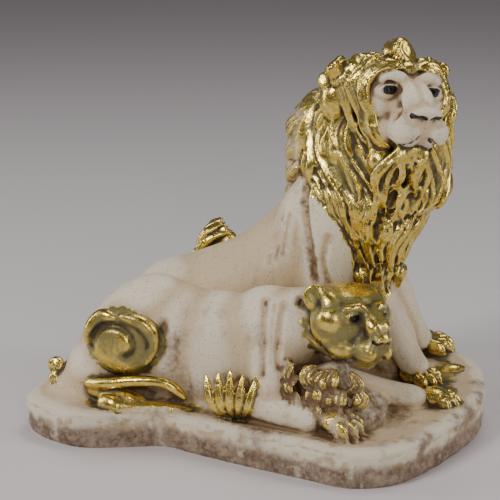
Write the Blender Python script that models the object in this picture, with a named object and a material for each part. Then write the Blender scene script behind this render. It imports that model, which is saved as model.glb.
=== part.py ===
"""A lion and his lioness resting on a rock base, cast in one piece, ivory with gilded manes and paws.

Metres, +Z up. The lions face +X and the lioness lies in front, on the -Y side. The origin is on the
underside, in the middle of the statue's box.
"""

import math

import bmesh
import bpy
import numpy as np
from mathutils import Euler, Matrix, Vector

# Driving sizes
LION_HEIGHT = 0.240
LIONESS_LENGTH = 0.240
BASE_LENGTH = 0.302
BASE_WIDTH = 0.180
BASE_THICKNESS = 0.024
BASE_BACK_RISE = 0.012
BASE_LIP = 0.0025

# A figure's places are counted in 240ths of its own size, which are millimetres at the real size.
STEPS_IN_A_FIGURE = 240
LION_STEP = LION_HEIGHT / STEPS_IN_A_FIGURE
LIONESS_STEP = LIONESS_LENGTH / STEPS_IN_A_FIGURE

# How finely the clay is worked at each stage, and how many triangles the finished solid keeps
BODY_VOXEL = 0.0030
FORM_VOXEL = 0.0020
LOCK_VOXEL = 0.0016
FINISHED_TRIANGLES = 9700

UNDERCUT = 0.004  # how far the rock is modelled below its underside before that is cut flat


def seat(step):
    """The frame of a figure: its own steps, from the middle of the rock's top face."""
    return Matrix.Translation((0, 0, BASE_THICKNESS)) @ Matrix.Scale(step, 4)


def turned(frame, place, heading=0.0, pitch=0.0, roll=0.0, size=1.0):
    """A frame inside another: +X ahead, +Y to its left, turned by degrees and scaled."""
    turn = Euler((math.radians(roll), math.radians(-pitch), math.radians(heading)), "XYZ")
    return frame @ Matrix.LocRotScale(Vector(place), turn, Vector((size,) * 3))


LION = seat(LION_STEP)
LIONESS = seat(LIONESS_STEP)
LION_HEAD = turned(LION, (86, 27, 199.5), heading=-61.5, pitch=8, roll=-4.5, size=1.14)
LIONESS_HEAD = turned(LIONESS, (66.5, -29, 65.6), heading=-35.7, pitch=3.5, roll=-4, size=0.93)


# The clay and the ways of adding to it

def added(clay, lump):
    """Adds one lump to the clay, which is a list of meshes until they are pressed together."""
    mesh = bpy.data.meshes.new("lump")
    lump.to_mesh(mesh)
    lump.free()
    clay.append(mesh)


def blob(clay, frame, centre, radii, turn=(0, 0, 0)):
    """A rounded lump: an ellipsoid with its radii along its own turned axes."""
    euler = Euler([math.radians(a) for a in turn], "XYZ")
    matrix = frame @ Matrix.LocRotScale(Vector(centre), euler, Vector(radii))
    lump = bmesh.new()
    bmesh.ops.create_icosphere(lump, subdivisions=4, radius=1.0, matrix=matrix)
    added(clay, lump)


def curve_through(stations, shares):
    """The values at shares of the way along a smooth curve through the stations, one row for each share."""
    known = np.array(stations, float)
    spans = len(known) - 1
    at = np.clip(shares, 0.0, 1.0) * spans
    k = np.minimum(at.astype(int), spans - 1)
    t = (at - k)[:, None]
    p = [known[np.clip(k + i, 0, spans)] for i in (-1, 0, 1, 2)]
    linear = p[2] - p[0]
    square = 2 * p[0] - 5 * p[1] + 4 * p[2] - p[3]
    cubic = 3 * p[1] - p[0] - 3 * p[2] + p[3]
    return 0.5 * (2 * p[1] + linear * t + square * t**2 + cubic * t**3)


def station(stations, share):
    """The values at one share of the way along a smooth curve through the stations."""
    return curve_through(stations, np.array([share]))[0]


def unit(vectors):
    """The vectors, each made one long."""
    return vectors / np.maximum(np.linalg.norm(vectors, axis=1), 1e-9)[:, None]


def bent(clay, frame, stations, section, sides, rings):
    """A ball drawn out along a curve; section(share, angle, place, ahead) gives its skin's offsets."""
    lump = bmesh.new()
    ball = bmesh.ops.create_uvsphere(lump, u_segments=sides, v_segments=rings, radius=1.0)["verts"]
    round_ball = np.array([vert.co for vert in ball])
    share = np.arccos(np.clip(round_ball[:, 2], -1, 1)) / math.pi
    angle = np.arctan2(round_ball[:, 1], round_ball[:, 0])
    place = curve_through(stations, share)[:, :3]
    ahead = unit((curve_through(stations, share + 0.02) - curve_through(stations, share - 0.02))[:, :3])
    for vert, co in zip(ball, place + section(share, angle, place, ahead)):
        vert.co = frame @ Vector(co)
    added(clay, lump)


def limb(clay, frame, stations, sides=16, rings=20, beside=(0.1, 0.2, 1)):
    """A tapering round limb with round ends, through stations of x, y, z and radius."""

    def section(share, angle, place, ahead):
        side = unit(np.cross(ahead, beside))
        up = np.cross(side, ahead)
        radius = curve_through(stations, share)[:, 3] * np.minimum(1.0, 2.2 * np.sin(math.pi * share)) ** 0.5
        return (side * np.cos(angle)[:, None] + up * np.sin(angle)[:, None]) * radius[:, None]

    bent(clay, frame, stations, section, sides, rings)


def lock(clay, frame, path, core, width, depth, ridges=2, groove=0.22, sides=20, rings=18):
    """A lock of hair along a path, lying on the core it grows from, grooved lengthwise, fine at its tip."""

    def section(share, angle, place, ahead):
        side = unit(np.cross(ahead, unit(place - np.array(core))))
        out = np.cross(side, ahead)
        swell = np.sin(math.pi * np.minimum(share * 1.3, 0.5 + share * 0.5)) ** 0.7
        comb = 1.0 - groove * (0.5 + 0.5 * np.cos(2 * ridges * angle)) * np.abs(np.sin(angle))
        flat = side * (width * np.cos(angle))[:, None] + out * (depth * np.sin(angle))[:, None]
        return flat * (swell * comb)[:, None]

    bent(clay, frame, path, section, sides, rings)


def curl(clay, frame, centre, radius, axis, turns=1.4):
    """A ball of hair with one thick strand coiled round it."""
    blob(clay, frame, centre, (radius * 0.86,) * 3)
    way = Vector(axis).normalized()
    side = way.orthogonal().normalized()
    third = way.cross(side)
    path = []
    for k in range(9):
        t = k / 8
        spin = 2 * math.pi * turns * t
        rise = math.cos(math.pi * (0.12 + 0.76 * t))
        reach = math.sqrt(1 - rise**2)
        place = way * rise + (side * math.cos(spin) + third * math.sin(spin)) * reach
        thick = radius * (0.30 + 0.1 * math.sin(math.pi * t))
        path.append((*(Vector(centre) + place * radius * 0.8), thick))
    limb(clay, frame, path, 10, 34, beside=way)


def stroke(marks, frame, stations, width, depth):
    """Notes a groove to press into the skin along a curve; a negative depth raises a ridge instead."""
    scale = frame.to_scale()[0]
    line = np.array([frame @ Vector(p[:3]) for p in curve_through(stations, np.linspace(0, 1, 30))])
    marks.append((line, width * scale, depth * scale))


def fused(clay, voxel, smoothing, marks=()):
    """The clay pressed into one skin of small squares, smoothed, with the strokes pressed in."""
    heap = bmesh.new()
    for lump in clay:
        heap.from_mesh(lump)
        bpy.data.meshes.remove(lump)
    mesh = bpy.data.meshes.new("skin")
    heap.to_mesh(mesh)
    heap.free()
    shape = bpy.data.objects.new("skin", mesh)
    bpy.context.scene.collection.objects.link(shape)
    remesh = shape.modifiers.new("Fuse", "REMESH")
    remesh.mode = "VOXEL"
    remesh.voxel_size = voxel
    smooth = shape.modifiers.new("Smooth", "SMOOTH")
    smooth.factor = 0.5
    smooth.iterations = smoothing
    skin = bpy.data.meshes.new_from_object(shape.evaluated_get(bpy.context.evaluated_depsgraph_get()))
    bpy.data.objects.remove(shape)
    places = np.array([vert.co for vert in skin.vertices])
    outward = np.array([vert.normal for vert in skin.vertices])
    for line, width, depth in marks:
        low, high = line.min(axis=0) - 2.5 * width, line.max(axis=0) + 2.5 * width
        near = np.flatnonzero(((places > low) & (places < high)).all(axis=1))
        far = np.linalg.norm(places[near][:, None] - line[None], axis=2).min(axis=1)
        places[near] -= outward[near] * (depth * np.exp(-((far / width) ** 2)))[:, None]
    skin.vertices.foreach_set("co", places.ravel())
    skin.update()
    return skin


# The rock

ROCK_OUTLINE = (  # shares of the base's length and width, anticlockwise from the tail end
    (-0.495, -0.37),
    (-0.36, -0.47),
    (-0.25, -0.42),
    (-0.16, -0.36),
    (-0.09, -0.39),
    (0.03, -0.43),
    (0.18, -0.47),
    (0.28, -0.50),
    (0.36, -0.44),
    (0.42, -0.31),
    (0.475, -0.08),
    (0.50, 0.14),
    (0.475, 0.36),
    (0.40, 0.485),
    (0.25, 0.50),
    (0.0, 0.48),
    (-0.25, 0.49),
    (-0.42, 0.36),
    (-0.49, 0.08),
    (-0.50, -0.18),
)
ROCK_RINGS = (  # share of the outline and of the height, from the underside up to the middle of the top
    (0.975, 0.0),
    (0.990, 0.15),
    (0.995, 0.35),
    (0.985, 0.62),
    (1.000, 0.88),
    (0.985, 0.97),
    (0.955, 1.00),
    (0.915, 0.965),
    (0.60, 0.93),
    (0.25, 0.93),
)
ROCK_POINTS = 120


def rock_height(x, y):
    """How high the rock's top stands: it rises to the back, most under the lion's paws."""
    back = min(max(0.5 + y / BASE_WIDTH, 0.0), 1.0)
    ahead = min(max(0.5 + x / BASE_LENGTH, 0.0), 1.0)
    return BASE_THICKNESS + BASE_LIP + BASE_BACK_RISE * back**2 * ahead


def rock(clay):
    """The rock: a closed outline drawn up in rings, with a lip round its top."""
    spans = len(ROCK_OUTLINE)
    outline = []
    for k in range(ROCK_POINTS):
        at = spans * k / ROCK_POINTS
        near = [ROCK_OUTLINE[(int(at) + i) % spans] for i in (-1, 0, 1, 2)]
        x, y = station(near, (1 + at % 1) / 3)
        chip = 0.006 * math.sin(2.9 * k) * math.sin(0.7 * k) + 0.004 * math.sin(0.41 * k)
        outline.append((x * BASE_LENGTH * (1 + chip), y * BASE_WIDTH * (1 + chip)))
    lump = bmesh.new()
    loop = bmesh.ops.create_circle(lump, segments=ROCK_POINTS, radius=1.0, cap_ends=False)["verts"]
    edges = list({e for v in loop for e in v.link_edges})
    bmesh.ops.edgeloop_fill(lump, edges=edges)
    rings = [loop]
    for _ in ROCK_RINGS[1:]:
        made = bmesh.ops.extrude_edge_only(lump, edges=edges)["geom"]
        edges = [g for g in made if isinstance(g, bmesh.types.BMEdge) and len(g.link_faces) == 1]
        rings.append([g for g in made if isinstance(g, bmesh.types.BMVert)])
    for (share, rise), ring in zip(ROCK_RINGS, rings):
        for vert, (x, y) in zip(ring, outline):
            top = rock_height(x * share, y * share)
            vert.co = (x * share, y * share, -UNDERCUT + (top + UNDERCUT) * rise)
    bmesh.ops.edgeloop_fill(lump, edges=edges)
    bmesh.ops.recalc_face_normals(lump, faces=lump.faces)
    added(clay, lump)


# The lioness, who lies in front

def lioness_body(clay):
    """Her rump, back, belly, chest and neck."""
    blob(clay, LIONESS, (-83, -28, 40), (52, 31, 31), (0, -51, 0))
    blob(clay, LIONESS, (-104, -34, 20), (40, 26, 22), (0, -51, 0))
    blob(clay, LIONESS, (-116, -38, 4), (26, 24, 12))
    blob(clay, LIONESS, (-56, -26, 40), (40, 32, 40))
    blob(clay, LIONESS, (-20, -26, 34), (48, 31, 42))
    blob(clay, LIONESS, (14, -27, 42), (34, 28, 42))
    limb(clay, LIONESS, [(0, -26, 40, 26), (20, -28, 54, 27), (38, -24, 60, 24), (56, -20, 60, 18)])
    limb(clay, LIONESS, [(18, -40, 50, 18), (22, -50, 26, 15), (26, -56, 10, 11)])


def lioness_limbs(clay):
    """Her forelegs, and the hind leg under her thigh."""
    limb(clay, LIONESS, [(-4, -51, 14, 12), (28, -59, 12, 11), (62, -64, 9, 9.5)])
    limb(clay, LIONESS, [(30, -24, 26, 16), (60, -20, 18, 13), (90, -9, 10, 10), (118, 2, 5, 8.5)])
    blob(clay, LIONESS, (72, -30, 6), (24, 26, 14))
    limb(clay, LIONESS, [(50, -36, 36, 20), (60, -44, 16, 18), (66, -48, 2, 16)])


def thigh(clay):
    """Her gilded thigh, rolled in at its upper back corner."""
    blob(clay, LIONESS, (-81, -53, 43), (26, 12, 23), (0, 8, 0))
    limb(clay, LIONESS, [(-102, -58, 38, 3.5), (-101, -60, 52, 5), (-93, -58, 62, 5), (-81, -61, 61, 4)])
    limb(clay, LIONESS, [(-81, -61, 64, 3), (-63, -60, 60, 5), (-55, -58, 46, 5), (-63, -60, 28, 4)])


def hind_leg_and_tail(clay):
    """Her hind leg flat on the rock, and the tail that lies over it."""
    limb(clay, LIONESS, [(-128, -40, 8, 6), (-104, -52, 8, 8), (-82, -60, 6, 7), (-60, -62, 4, 5)])
    limb(clay, LIONESS, [(-96, -62, 3, 5), (-84, -66, 3, 7), (-74, -65, 2, 6), (-30, -54, 1, 3)])
    tail = [(-118, -50, 9, 4), (-92, -62, 15, 4), (-70, -63, 20, 3.6), (-48, -60, 20, 3.6)]
    tail.append((-34, -57, 9, 3.2))
    limb(clay, LIONESS, tail, 12, 30)
    blob(clay, LIONESS, (-134, -45, 17), (5.5, 5.5, 5.5))
    blob(clay, LIONESS, (-133, -48, 9), (5, 4, 7), (0, 0, 30))


# The lion, who sits up behind her

def lion_body(clay):
    """His rump, back, ribs, chest and shoulders."""
    blob(clay, LION, (-69, 28, 42), (38, 36, 38), (0, -12, 0))
    blob(clay, LION, (-92, 22, 22), (30, 34, 26), (0, -40, 0))
    spine = [(-74, 32, 42, 34), (-48, 38, 50, 35), (-8, 40, 69, 35), (28, 40, 101, 36)]
    spine += [(48, 38, 134, 34), (58, 38, 160, 30)]
    limb(clay, LION, spine, 24, 30)
    blob(clay, LION, (38, 42, 70), (34, 34, 60), (0, 14, 0))
    blob(clay, LION, (54, 38, 108), (34, 34, 56))
    blob(clay, LION, (44, 14, 100), (24, 16, 46), (0, 6, 0))
    blob(clay, LION, (18, 28, 104), (20, 22, 46), (0, 14, 0))


def lion_limbs(clay):
    """His forelegs, with the casting's web between them."""
    limb(clay, LION, [(62, 24, 84, 18), (82, 26, 54, 12.5), (96, 30, 24, 10), (106, 34, 8, 10)])
    limb(clay, LION, [(64, 54, 90, 18), (80, 60, 56, 13), (90, 70, 30, 10.5), (97, 82, 13, 10)])
    limb(clay, LION, [(62, 44, 60, 20), (80, 48, 30, 17), (86, 52, 4, 16)])


def lion_tail(clay):
    """The tuft of his tail, standing up behind his back, on a tail that comes round his far side."""
    limb(clay, LION, [(-96, 56, 8, 6), (-98, 76, 22, 5), (-84, 82, 44, 4.5), (-66, 76, 64, 5)], 12, 24)
    blob(clay, LION, (-58, 72, 76), (20, 11, 14), (0, -36, 0))
    for number in range(6):
        t = number / 5
        start = (-72 + 8 * t, 62 + 16 * t, 66 + 4 * math.sin(3 * t))
        tip = (-42 - 16 * t, 66 + 12 * t, 90 + 8 * math.sin(2.4 * t))
        middle = [0.5 * (a + b) for a, b in zip(start, tip)]
        lock(clay, LION, [start, (middle[0] - 3, middle[1], middle[2] + 5), tip], (-58, 72, 70), 5.5, 5)


# Paws, heads and ears

def paw(clay, frame, place, heading, size=1.0):
    """A paw flat on the rock: the pad and four toes side by side."""
    own = turned(frame, place, heading=heading, size=size)
    blob(clay, own, (-2, 0, 3), (12, 11, 8.5))
    for number, (ahead, spread) in enumerate(((7, -8.4), (11, -3), (11, 3), (7, 8.4))):
        blob(clay, own, (ahead, spread, 1), (7.5, 3.6, 7), (0, 0, (number - 1.5) * 9))


def paws(clay):
    """All four forepaws, and the loose gilded toe beside them."""
    paw(clay, LIONESS, (71, -63, 6.5), -20, 0.95)
    paw(clay, LIONESS, (122, 4, 4), -4, 0.85)
    paw(clay, LION, (103, 32, 7), -20, 0.95)
    paw(clay, LION, (98, 84, 12), 4, 1.1)
    blob(clay, LION, (124, 56, 6), (9, 6.5, 5.5), (0, 0, 25))


def cat_head(clay, head, skull, muzzle, pads):
    """A big cat's head without its hair: skull, brow, muzzle, nose, chin and cheeks."""
    blob(clay, head, (-2, 0, 0), skull)
    half = 0.5 * skull[1]
    bridge = [(10, 0, 12, 8), (21, 0, 10.5, 7.5), (26 + 0.5 * muzzle, 0, 5.5, 7), (27 + muzzle, 0, 1, 6.5)]
    for side in (-1, 1):
        limb(clay, head, [(x, 3.4 * side, z, r) for x, y, z, r in bridge])
        limb(clay, head, [(22, 4 * side, 11, 3), (24, 8 * side, 15.5, 3.6), (20, 17 * side, 14.5, 3.4)])
        blob(clay, head, (7, half * side, 4), (14, half, 14))
        blob(clay, head, (8, 0.86 * half * side, -13), (17, 10, 9))
        blob(clay, head, (19 + muzzle, 0.46 * pads * side, -10), (12, 0.54 * pads, 8), (0, 8, 8 * side))
        blob(clay, head, (28 + muzzle, 7.5 * side, -3), (5, 3.4, 3.4))
    blob(clay, head, (13 + muzzle, 0, -8), (16, 0.8 * pads, 10.5))
    blob(clay, head, (28 + muzzle, 0, -1), (6, 9.5, 5))
    blob(clay, head, (13 + muzzle, 0, -18.5), (10, 0.55 * pads, 6))


def face_strokes(marks, head, muzzle):
    """Eye sockets, nostrils, the mouth and the folds beside the nose."""
    for side in (-1, 1):
        stroke(marks, head, [(27, 9 * side, 8), (22, 18 * side, 8)], 3.4, 4.4)
        stroke(marks, head, [(28, 9.5 * side, 5), (24 + 0.6 * muzzle, 14 * side, -4)], 2.4, 2.6)
        stroke(marks, head, [(34 + muzzle, 4 * side, -6.5), (29 + muzzle, 11 * side, -4.5)], 1.7, 3.4)
        mouth = [(32 + muzzle, 0, -14.5), (28 + muzzle, 8 * side, -18), (17 + muzzle, 15 * side, -19.5)]
        stroke(marks, head, mouth, 1.8, 3.0)
    stroke(marks, head, [(34 + muzzle, 0, -8), (33 + muzzle, 0, -15)], 1.3, 1.6)


def eyes(clay, head):
    """The eyeballs, a little proud of their sockets."""
    for side in (-1, 1):
        blob(clay, head, (21, 13.5 * side, 8), (4.6, 5, 3.6))


def ear(clay, head, side, size=1.0):
    """A round ear: a ring of a rim about a shallow cup."""
    own = turned(head, (-4, 27 * side, 15), heading=30 * side, roll=-30 * side, size=size)
    ring = []
    for k in range(9):
        spin = math.radians(-50 + 280 * k / 8)
        ring.append((0, 5.4 * math.cos(spin), 3 + 6 * math.sin(spin), 2.2))
    limb(clay, own, ring, 10, 30, beside=(1, 0.1, 0.1))
    blob(clay, own, (-3, 0, 2), (3.4, 6.5, 7))


# The mane

MANE_AXIS = (  # x, y, z of the middle and the half widths across and fore and aft, from the crown down
    (84, 31, 219, 8, 8),
    (80, 34, 211, 34, 27),
    (75, 37, 199, 45, 33),
    (71, 38, 181, 48, 39),
    (69, 38, 158, 50, 41),
    (73, 31, 136, 42, 35),
    (75, 22, 115, 24, 22),
    (78, 20, 88, 11, 12),
)
MANE_FRONT = -40.0  # the way that the middle of the mane faces, in degrees from +X
MANE_LOCKS = 24  # how many locks stand side by side round each of its two layers
MANE_ROWS = 3.1  # how many locks follow each other down it
LOCK_RISES = (6.5, 2.6)  # how far the locks of the outer and the inner layer stand out
LOCK_FOLD = 0.30  # how deep the grooves between one lock's strands are, as a share of its rise


def chance(number, layer):
    """A share from 0 to 1 that looks random but is always the same for the same numbers."""
    return np.modf(np.abs(np.sin(number * 12.9898 + layer * 78.233)) * 43758.5453)[0]


def mane_relief(share, around):
    """How far the hair stands off the mane's mass: two layers of S-shaped locks, each over the next."""
    bow = 22 * share * np.sin(np.radians(around)) + 10 * np.sin(2 * math.pi * 1.7 * share + 0.4)
    across = (around + bow) * MANE_LOCKS / 360
    rise = np.zeros(len(share))
    for layer, height in enumerate(LOCK_RISES):
        beside = across + 0.5 * layer
        number = np.floor(beside) % MANE_LOCKS
        down = MANE_ROWS * share + chance(number, layer)
        t = np.modf(down)[0]
        hook = 0.4 * np.sin(2 * math.pi * t) * (chance(number + np.floor(down), 3) - 0.2)
        c = 2 * (beside - np.floor(beside) - 0.5) + hook
        width = 0.98 * (1 - 0.55 * t**4)
        round_top = np.cos(0.5 * math.pi * np.clip(c / width, -1, 1))
        strands = 1 - LOCK_FOLD * np.sin(1.5 * math.pi * c / width) ** 2
        rise = np.maximum(rise, height * round_top * strands * (0.4 + 0.6 * t**0.8) * (1 - t**14))
    return rise


def mane_place(level, angle, lift=0.0):
    """The point of the mane at a share of the way down, and at an angle round from its front."""
    x, y, z, across, deep = station(MANE_AXIS, level)
    turn = math.radians(MANE_FRONT - angle)
    return (x + (across + lift) * math.cos(turn), y + (deep + lift) * math.sin(turn), z)


def mane_mass(clay):
    """The mane with its locks worked into it, and the hair that backs the face."""

    def section(share, angle, place, ahead):
        around = (MANE_FRONT - np.degrees(angle) + 180) % 360 - 180
        reach = curve_through(MANE_AXIS, share)[:, 3:] * 0.97 - 2.8 + mane_relief(share, around)[:, None]
        reach = np.maximum(reach, 0) * np.minimum(1, 8 * np.sin(math.pi * share))[:, None]
        return np.column_stack((reach[:, 0] * np.cos(angle), reach[:, 1] * np.sin(angle), 0 * angle))

    bent(clay, LION, MANE_AXIS, section, 220, 140)
    blob(clay, LION_HEAD, (-8, -3, 1), (23, 29, 23))
    blob(clay, LION_HEAD, (-8, -34, 1), (10, 9, 14))


EDGE_LOCKS = (  # level, number of locks, first and last angle, length down, sweep forward, width
    (0.50, 6, 118, 190, 0.24, 22, 5.0),
    (0.64, 7, 60, 150, 0.24, 26, 5.0),
    (0.74, 6, -44, 90, 0.24, 20, 5.0),
    (0.58, 4, -92, -48, 0.20, 10, 5.4),
)


def edge_locks(clay):
    """The loose locks whose tips break the mane's lower edge."""
    for number, (level, count, first, last, fall, sweep, width) in enumerate(EDGE_LOCKS):
        for k in range(count):
            start = first + (last - first) * k / (count - 1)
            sway = math.sin(2.3 * k + 1.7 * number)
            forward = sweep * min(max(start / 90, -0.3), 1.0)
            path = []
            for step in range(7):
                t = step / 6
                angle = start - forward * t**1.3 - 7 * math.sin(2 * math.pi * t + 0.4 * sway)
                down = level + (fall + 0.02 * sway) * t
                path.append(mane_place(down, angle, -5.0 + 8.0 * t**0.7))
            core = station(MANE_AXIS, level + 0.5 * fall)[:3]
            lock(clay, LION, path, core, width + sway, 5.6, rings=24)


FACE_EDGE = (  # the head's own x, y, z of the hair's edge on one side, from the parting to under the chin
    (21, 3, 20),
    (20, 11, 21),
    (17, 19, 18),
    (15, 23, 10),
    (16, 22, 1),
    (17, 19, -7),
    (19, 17, -14),
    (21, 14, -20),
    (23, 7, -25),
)
FACE_STRANDS = 3  # how many strands lie side by side round the face, on each side of it


def face_locks(clay):
    """The strands combed round the face from the parting on the brow, down the cheeks to the beard."""
    for side in (-1, 1):
        for strand in range(FACE_STRANDS):
            wide = 1.08 + (0.2 if side < 0 else 0.1) * strand
            wave = [1 + 0.04 * math.sin(2.2 * k + 1.3 * strand) for k in range(len(FACE_EDGE))]
            tall = 1.03 + 0.08 * strand
            path = [(x - 6 * strand, side * y * wide * w, z * tall) for (x, y, z), w in zip(FACE_EDGE, wave)]
            lock(clay, LION_HEAD, path, (-14, 0, -2), 4.0, 3.6, sides=16, rings=30)
        limb(clay, LION_HEAD, [(x - 4, side * 0.92 * y, 0.98 * z, 6) for x, y, z in FACE_EDGE], 12, 30)
    for k in range(7):
        side = (k - 3) / 3
        fall = 5 * math.sin(2.6 * k)
        path = [(27, 6 * side, -20), (26, 9 * side, -29), (22, 11 * side - 2, -41)]
        path.append((13, 12 * side, -56 + fall))
        lock(clay, LION_HEAD, path, (0, 0, -36), 4.0, 4.4)


CROWN_CURLS = (  # the head's own x, y, z, the radius, and how far the coil is turned
    (8, -3, 29, 9.0, 20),
    (13, 15, 22, 5.6, 80),
    (8, 22, 20, 5.2, 140),
    (12, -20, 22, 6.0, 200),
    (0, -33, 22, 8.4, 260),
    (-8, -39, 10, 6.0, 320),
    (2, -24, 22, 5.5, 30),
    (-8, 12, 20, 7.5, 60),
    (-8, -14, 20, 7.5, 120),
    (-16, 27, 11, 7.0, 170),
    (-24, 0, 14, 8.0, 230),
    (-24, -24, 8, 7.5, 290),
)


def crown(clay):
    """The coils that stand up round the top of his head."""
    for x, y, z, radius, spin in CROWN_CURLS:
        turn = math.radians(spin)
        curl(clay, LION_HEAD, (x, y, z), radius, (math.cos(turn), math.sin(turn), 0.6))


def rear_mane(clay):
    """The worn, flat-topped clump at the back of his neck."""
    blob(clay, LION, (24, 46, 172), (18, 24, 32), (0, 10, 0))
    lock(clay, LION, [(44, 44, 196), (24, 48, 193), (6, 54, 186)], (30, 50, 150), 12, 8)
    for k in range(4):
        z = 176 - 15 * k
        lock(clay, LION, [(22, 30, z + 12), (10, 34, z), (8, 40, z - 16)], (34, 44, z), 8, 6)


def chest_tufts(clay):
    """The gilded fur on his chest, and the fur under her chin."""
    blob(clay, LION, (76, 22, 98), (14, 15, 22))
    for k in range(8):
        t = k / 7
        start = (64 + 30 * t, 12 + 10 * t, 108 + 5 * math.sin(4 * t))
        tip = (67 + 22 * t, 8 + 12 * t, 82 + 5 * math.sin(9 * t))
        middle = (0.5 * (start[0] + tip[0]) + 2, 0.5 * (start[1] + tip[1]) - 3, 0.5 * (start[2] + tip[2]))
        lock(clay, LION, [start, middle, tip], (78, 40, 96), 4.5, 5)
    for row in range(3):
        for k in range(6):
            x = 32 + 8.2 * k + 3 * (row % 2)
            y = -50 - 6 * math.sin(math.pi * (k + 0.5) / 6) - 3 * row
            z = 34 - 9 * row - 0.8 * k
            way = 3 * math.sin(2.1 * k + row)
            path = [(x, y + 2, z + 9), (x + way, y - 2, z), (x + 1, y - 1, z - 9)]
            lock(clay, LIONESS, path, (x, -30, z), 3.6, 3.4)


def grass(clay):
    """The tuft of blades that grows against her belly."""
    blob(clay, LIONESS, (2, -50, 2), (16, 7, 7))
    for k in range(5):
        x = -10 + 6.2 * k
        foot, tip = (x + 1, -59, 1), (x + 2.2 * (k - 2), -55, 26 - 1.5 * k)
        middle = (0.5 * (foot[0] + tip[0]), -62, 12)
        lock(clay, LIONESS, [foot, middle, tip], (x, -38, 10), 3.6, 4.2, ridges=1)


def body_strokes(marks):
    """The furrows of neck, shoulder and flank, and the hollows round her head and thigh."""
    stroke(marks, LION, [(24, 14, 148), (28, 4, 122), (34, -4, 97), (36, -4, 82)], 3.0, 3.6)
    stroke(marks, LION, [(46, -4, 112), (43, -5, 96), (47, -4, 80)], 2.4, 1.8)
    stroke(marks, LIONESS, [(15, -44, 81), (18, -55, 56), (20, -58, 34)], 3.0, 3.0)
    stroke(marks, LIONESS, [(28, -46, 82), (28, -56, 58), (30, -58, 40)], 2.8, 2.6)
    behind_cheek = [(36, -40, 88), (38, -48, 76), (43, -53, 60), (56, -56, 46), (70, -54, 42)]
    stroke(marks, LIONESS, behind_cheek, 4.5, 6.0)
    stroke(marks, LIONESS, [(-51, -56, 60), (-49, -60, 42), (-57, -62, 24)], 3.0, 3.0)


LION_MUZZLE, LIONESS_MUZZLE = 11, 7  # how far each nose stands out
LION_PADS, LIONESS_PADS = 17.5, 14  # half the width of each muzzle
LION_SKULL, LIONESS_SKULL = (27, 23, 22), (28, 31, 27)


def build():
    """The statue's skin, from the big masses to the locks."""
    clay = []
    rock(clay)
    lioness_body(clay)
    lion_body(clay)
    clay = [fused(clay, BODY_VOXEL, 10)]
    lioness_limbs(clay)
    lion_limbs(clay)
    thigh(clay)
    cat_head(clay, LION_HEAD, LION_SKULL, LION_MUZZLE, LION_PADS)
    cat_head(clay, LIONESS_HEAD, LIONESS_SKULL, LIONESS_MUZZLE, LIONESS_PADS)
    marks = []
    body_strokes(marks)
    face_strokes(marks, LION_HEAD, LION_MUZZLE)
    face_strokes(marks, LIONESS_HEAD, LIONESS_MUZZLE)
    clay = [fused(clay, FORM_VOXEL, 4, marks)]
    eyes(clay, LION_HEAD)
    eyes(clay, LIONESS_HEAD)
    for side in (-1, 1):
        ear(clay, LIONESS_HEAD, side)
    paws(clay)
    hind_leg_and_tail(clay)
    lion_tail(clay)
    rear_mane(clay)
    mane_mass(clay)
    edge_locks(clay)
    face_locks(clay)
    crown(clay)
    chest_tufts(clay)
    grass(clay)
    return fused(clay, LOCK_VOXEL, 1)


def fewer(mesh, triangles):
    """The same skin drawn with about so many triangles."""
    shape = bpy.data.objects.new("skin", mesh)
    bpy.context.scene.collection.objects.link(shape)
    mesh.calc_loop_triangles()
    decimate = shape.modifiers.new("Fewer", "DECIMATE")
    decimate.ratio = triangles / len(mesh.loop_triangles)
    decimate.use_collapse_triangulate = True
    result = bpy.data.meshes.new_from_object(shape.evaluated_get(bpy.context.evaluated_depsgraph_get()))
    bpy.data.objects.remove(shape)
    return result


def largest_shell(solid):
    """Deletes every loose shell but the largest, such as the wall of a bubble inside."""
    shells = []
    seen = set()
    for first in solid.verts:
        if first not in seen:
            shell, front = {first}, [first]
            while front:
                near = {edge.other_vert(vert) for vert in front for edge in vert.link_edges} - shell
                shell |= near
                front = list(near)
            seen |= shell
            shells.append(shell)
    shells.sort(key=len, reverse=True)
    bmesh.ops.delete(solid, geom=[vert for shell in shells[1:] for vert in shell], context="VERTS")


def seated(mesh):
    """The finished solid: cut flat on its underside, closed, and moved over its own origin."""
    solid = bmesh.new()
    solid.from_mesh(mesh)
    everything = solid.verts[:] + solid.edges[:] + solid.faces[:]
    bmesh.ops.bisect_plane(solid, geom=everything, plane_co=(0, 0, 0), plane_no=(0, 0, -1), clear_outer=True)
    bmesh.ops.holes_fill(solid, edges=[edge for edge in solid.edges if edge.is_boundary], sides=0)
    largest_shell(solid)
    bmesh.ops.dissolve_degenerate(solid, edges=solid.edges, dist=1e-5)
    bmesh.ops.triangulate(solid, faces=solid.faces)
    bmesh.ops.recalc_face_normals(solid, faces=solid.faces)
    places = np.array([vert.co for vert in solid.verts])
    middle = 0.5 * (places.min(axis=0) + places.max(axis=0))
    bmesh.ops.translate(solid, verts=solid.verts, vec=(-middle[0], -middle[1], 0))
    solid.to_mesh(mesh)
    solid.free()
    return mesh


def finish(name, colour, roughness):
    """A plain paint for the solid."""
    paint = bpy.data.materials.new(name)
    paint.use_nodes = True
    shader = paint.node_tree.nodes["Principled BSDF"]
    shader.inputs["Base Color"].default_value = colour
    shader.inputs["Roughness"].default_value = roughness
    return paint


def main():
    """Empties the scene and leaves the finished statue in it."""
    for old in list(bpy.data.objects):
        bpy.data.objects.remove(old)
    statue = bpy.data.objects.new("lion_couple_statue", seated(fewer(build(), FINISHED_TRIANGLES)))
    statue.data.materials.append(finish("antique_ivory", (0.72, 0.64, 0.50, 1.0), 0.5))
    bpy.context.scene.collection.objects.link(statue)


if __name__ == "__main__":
    main()
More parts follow.
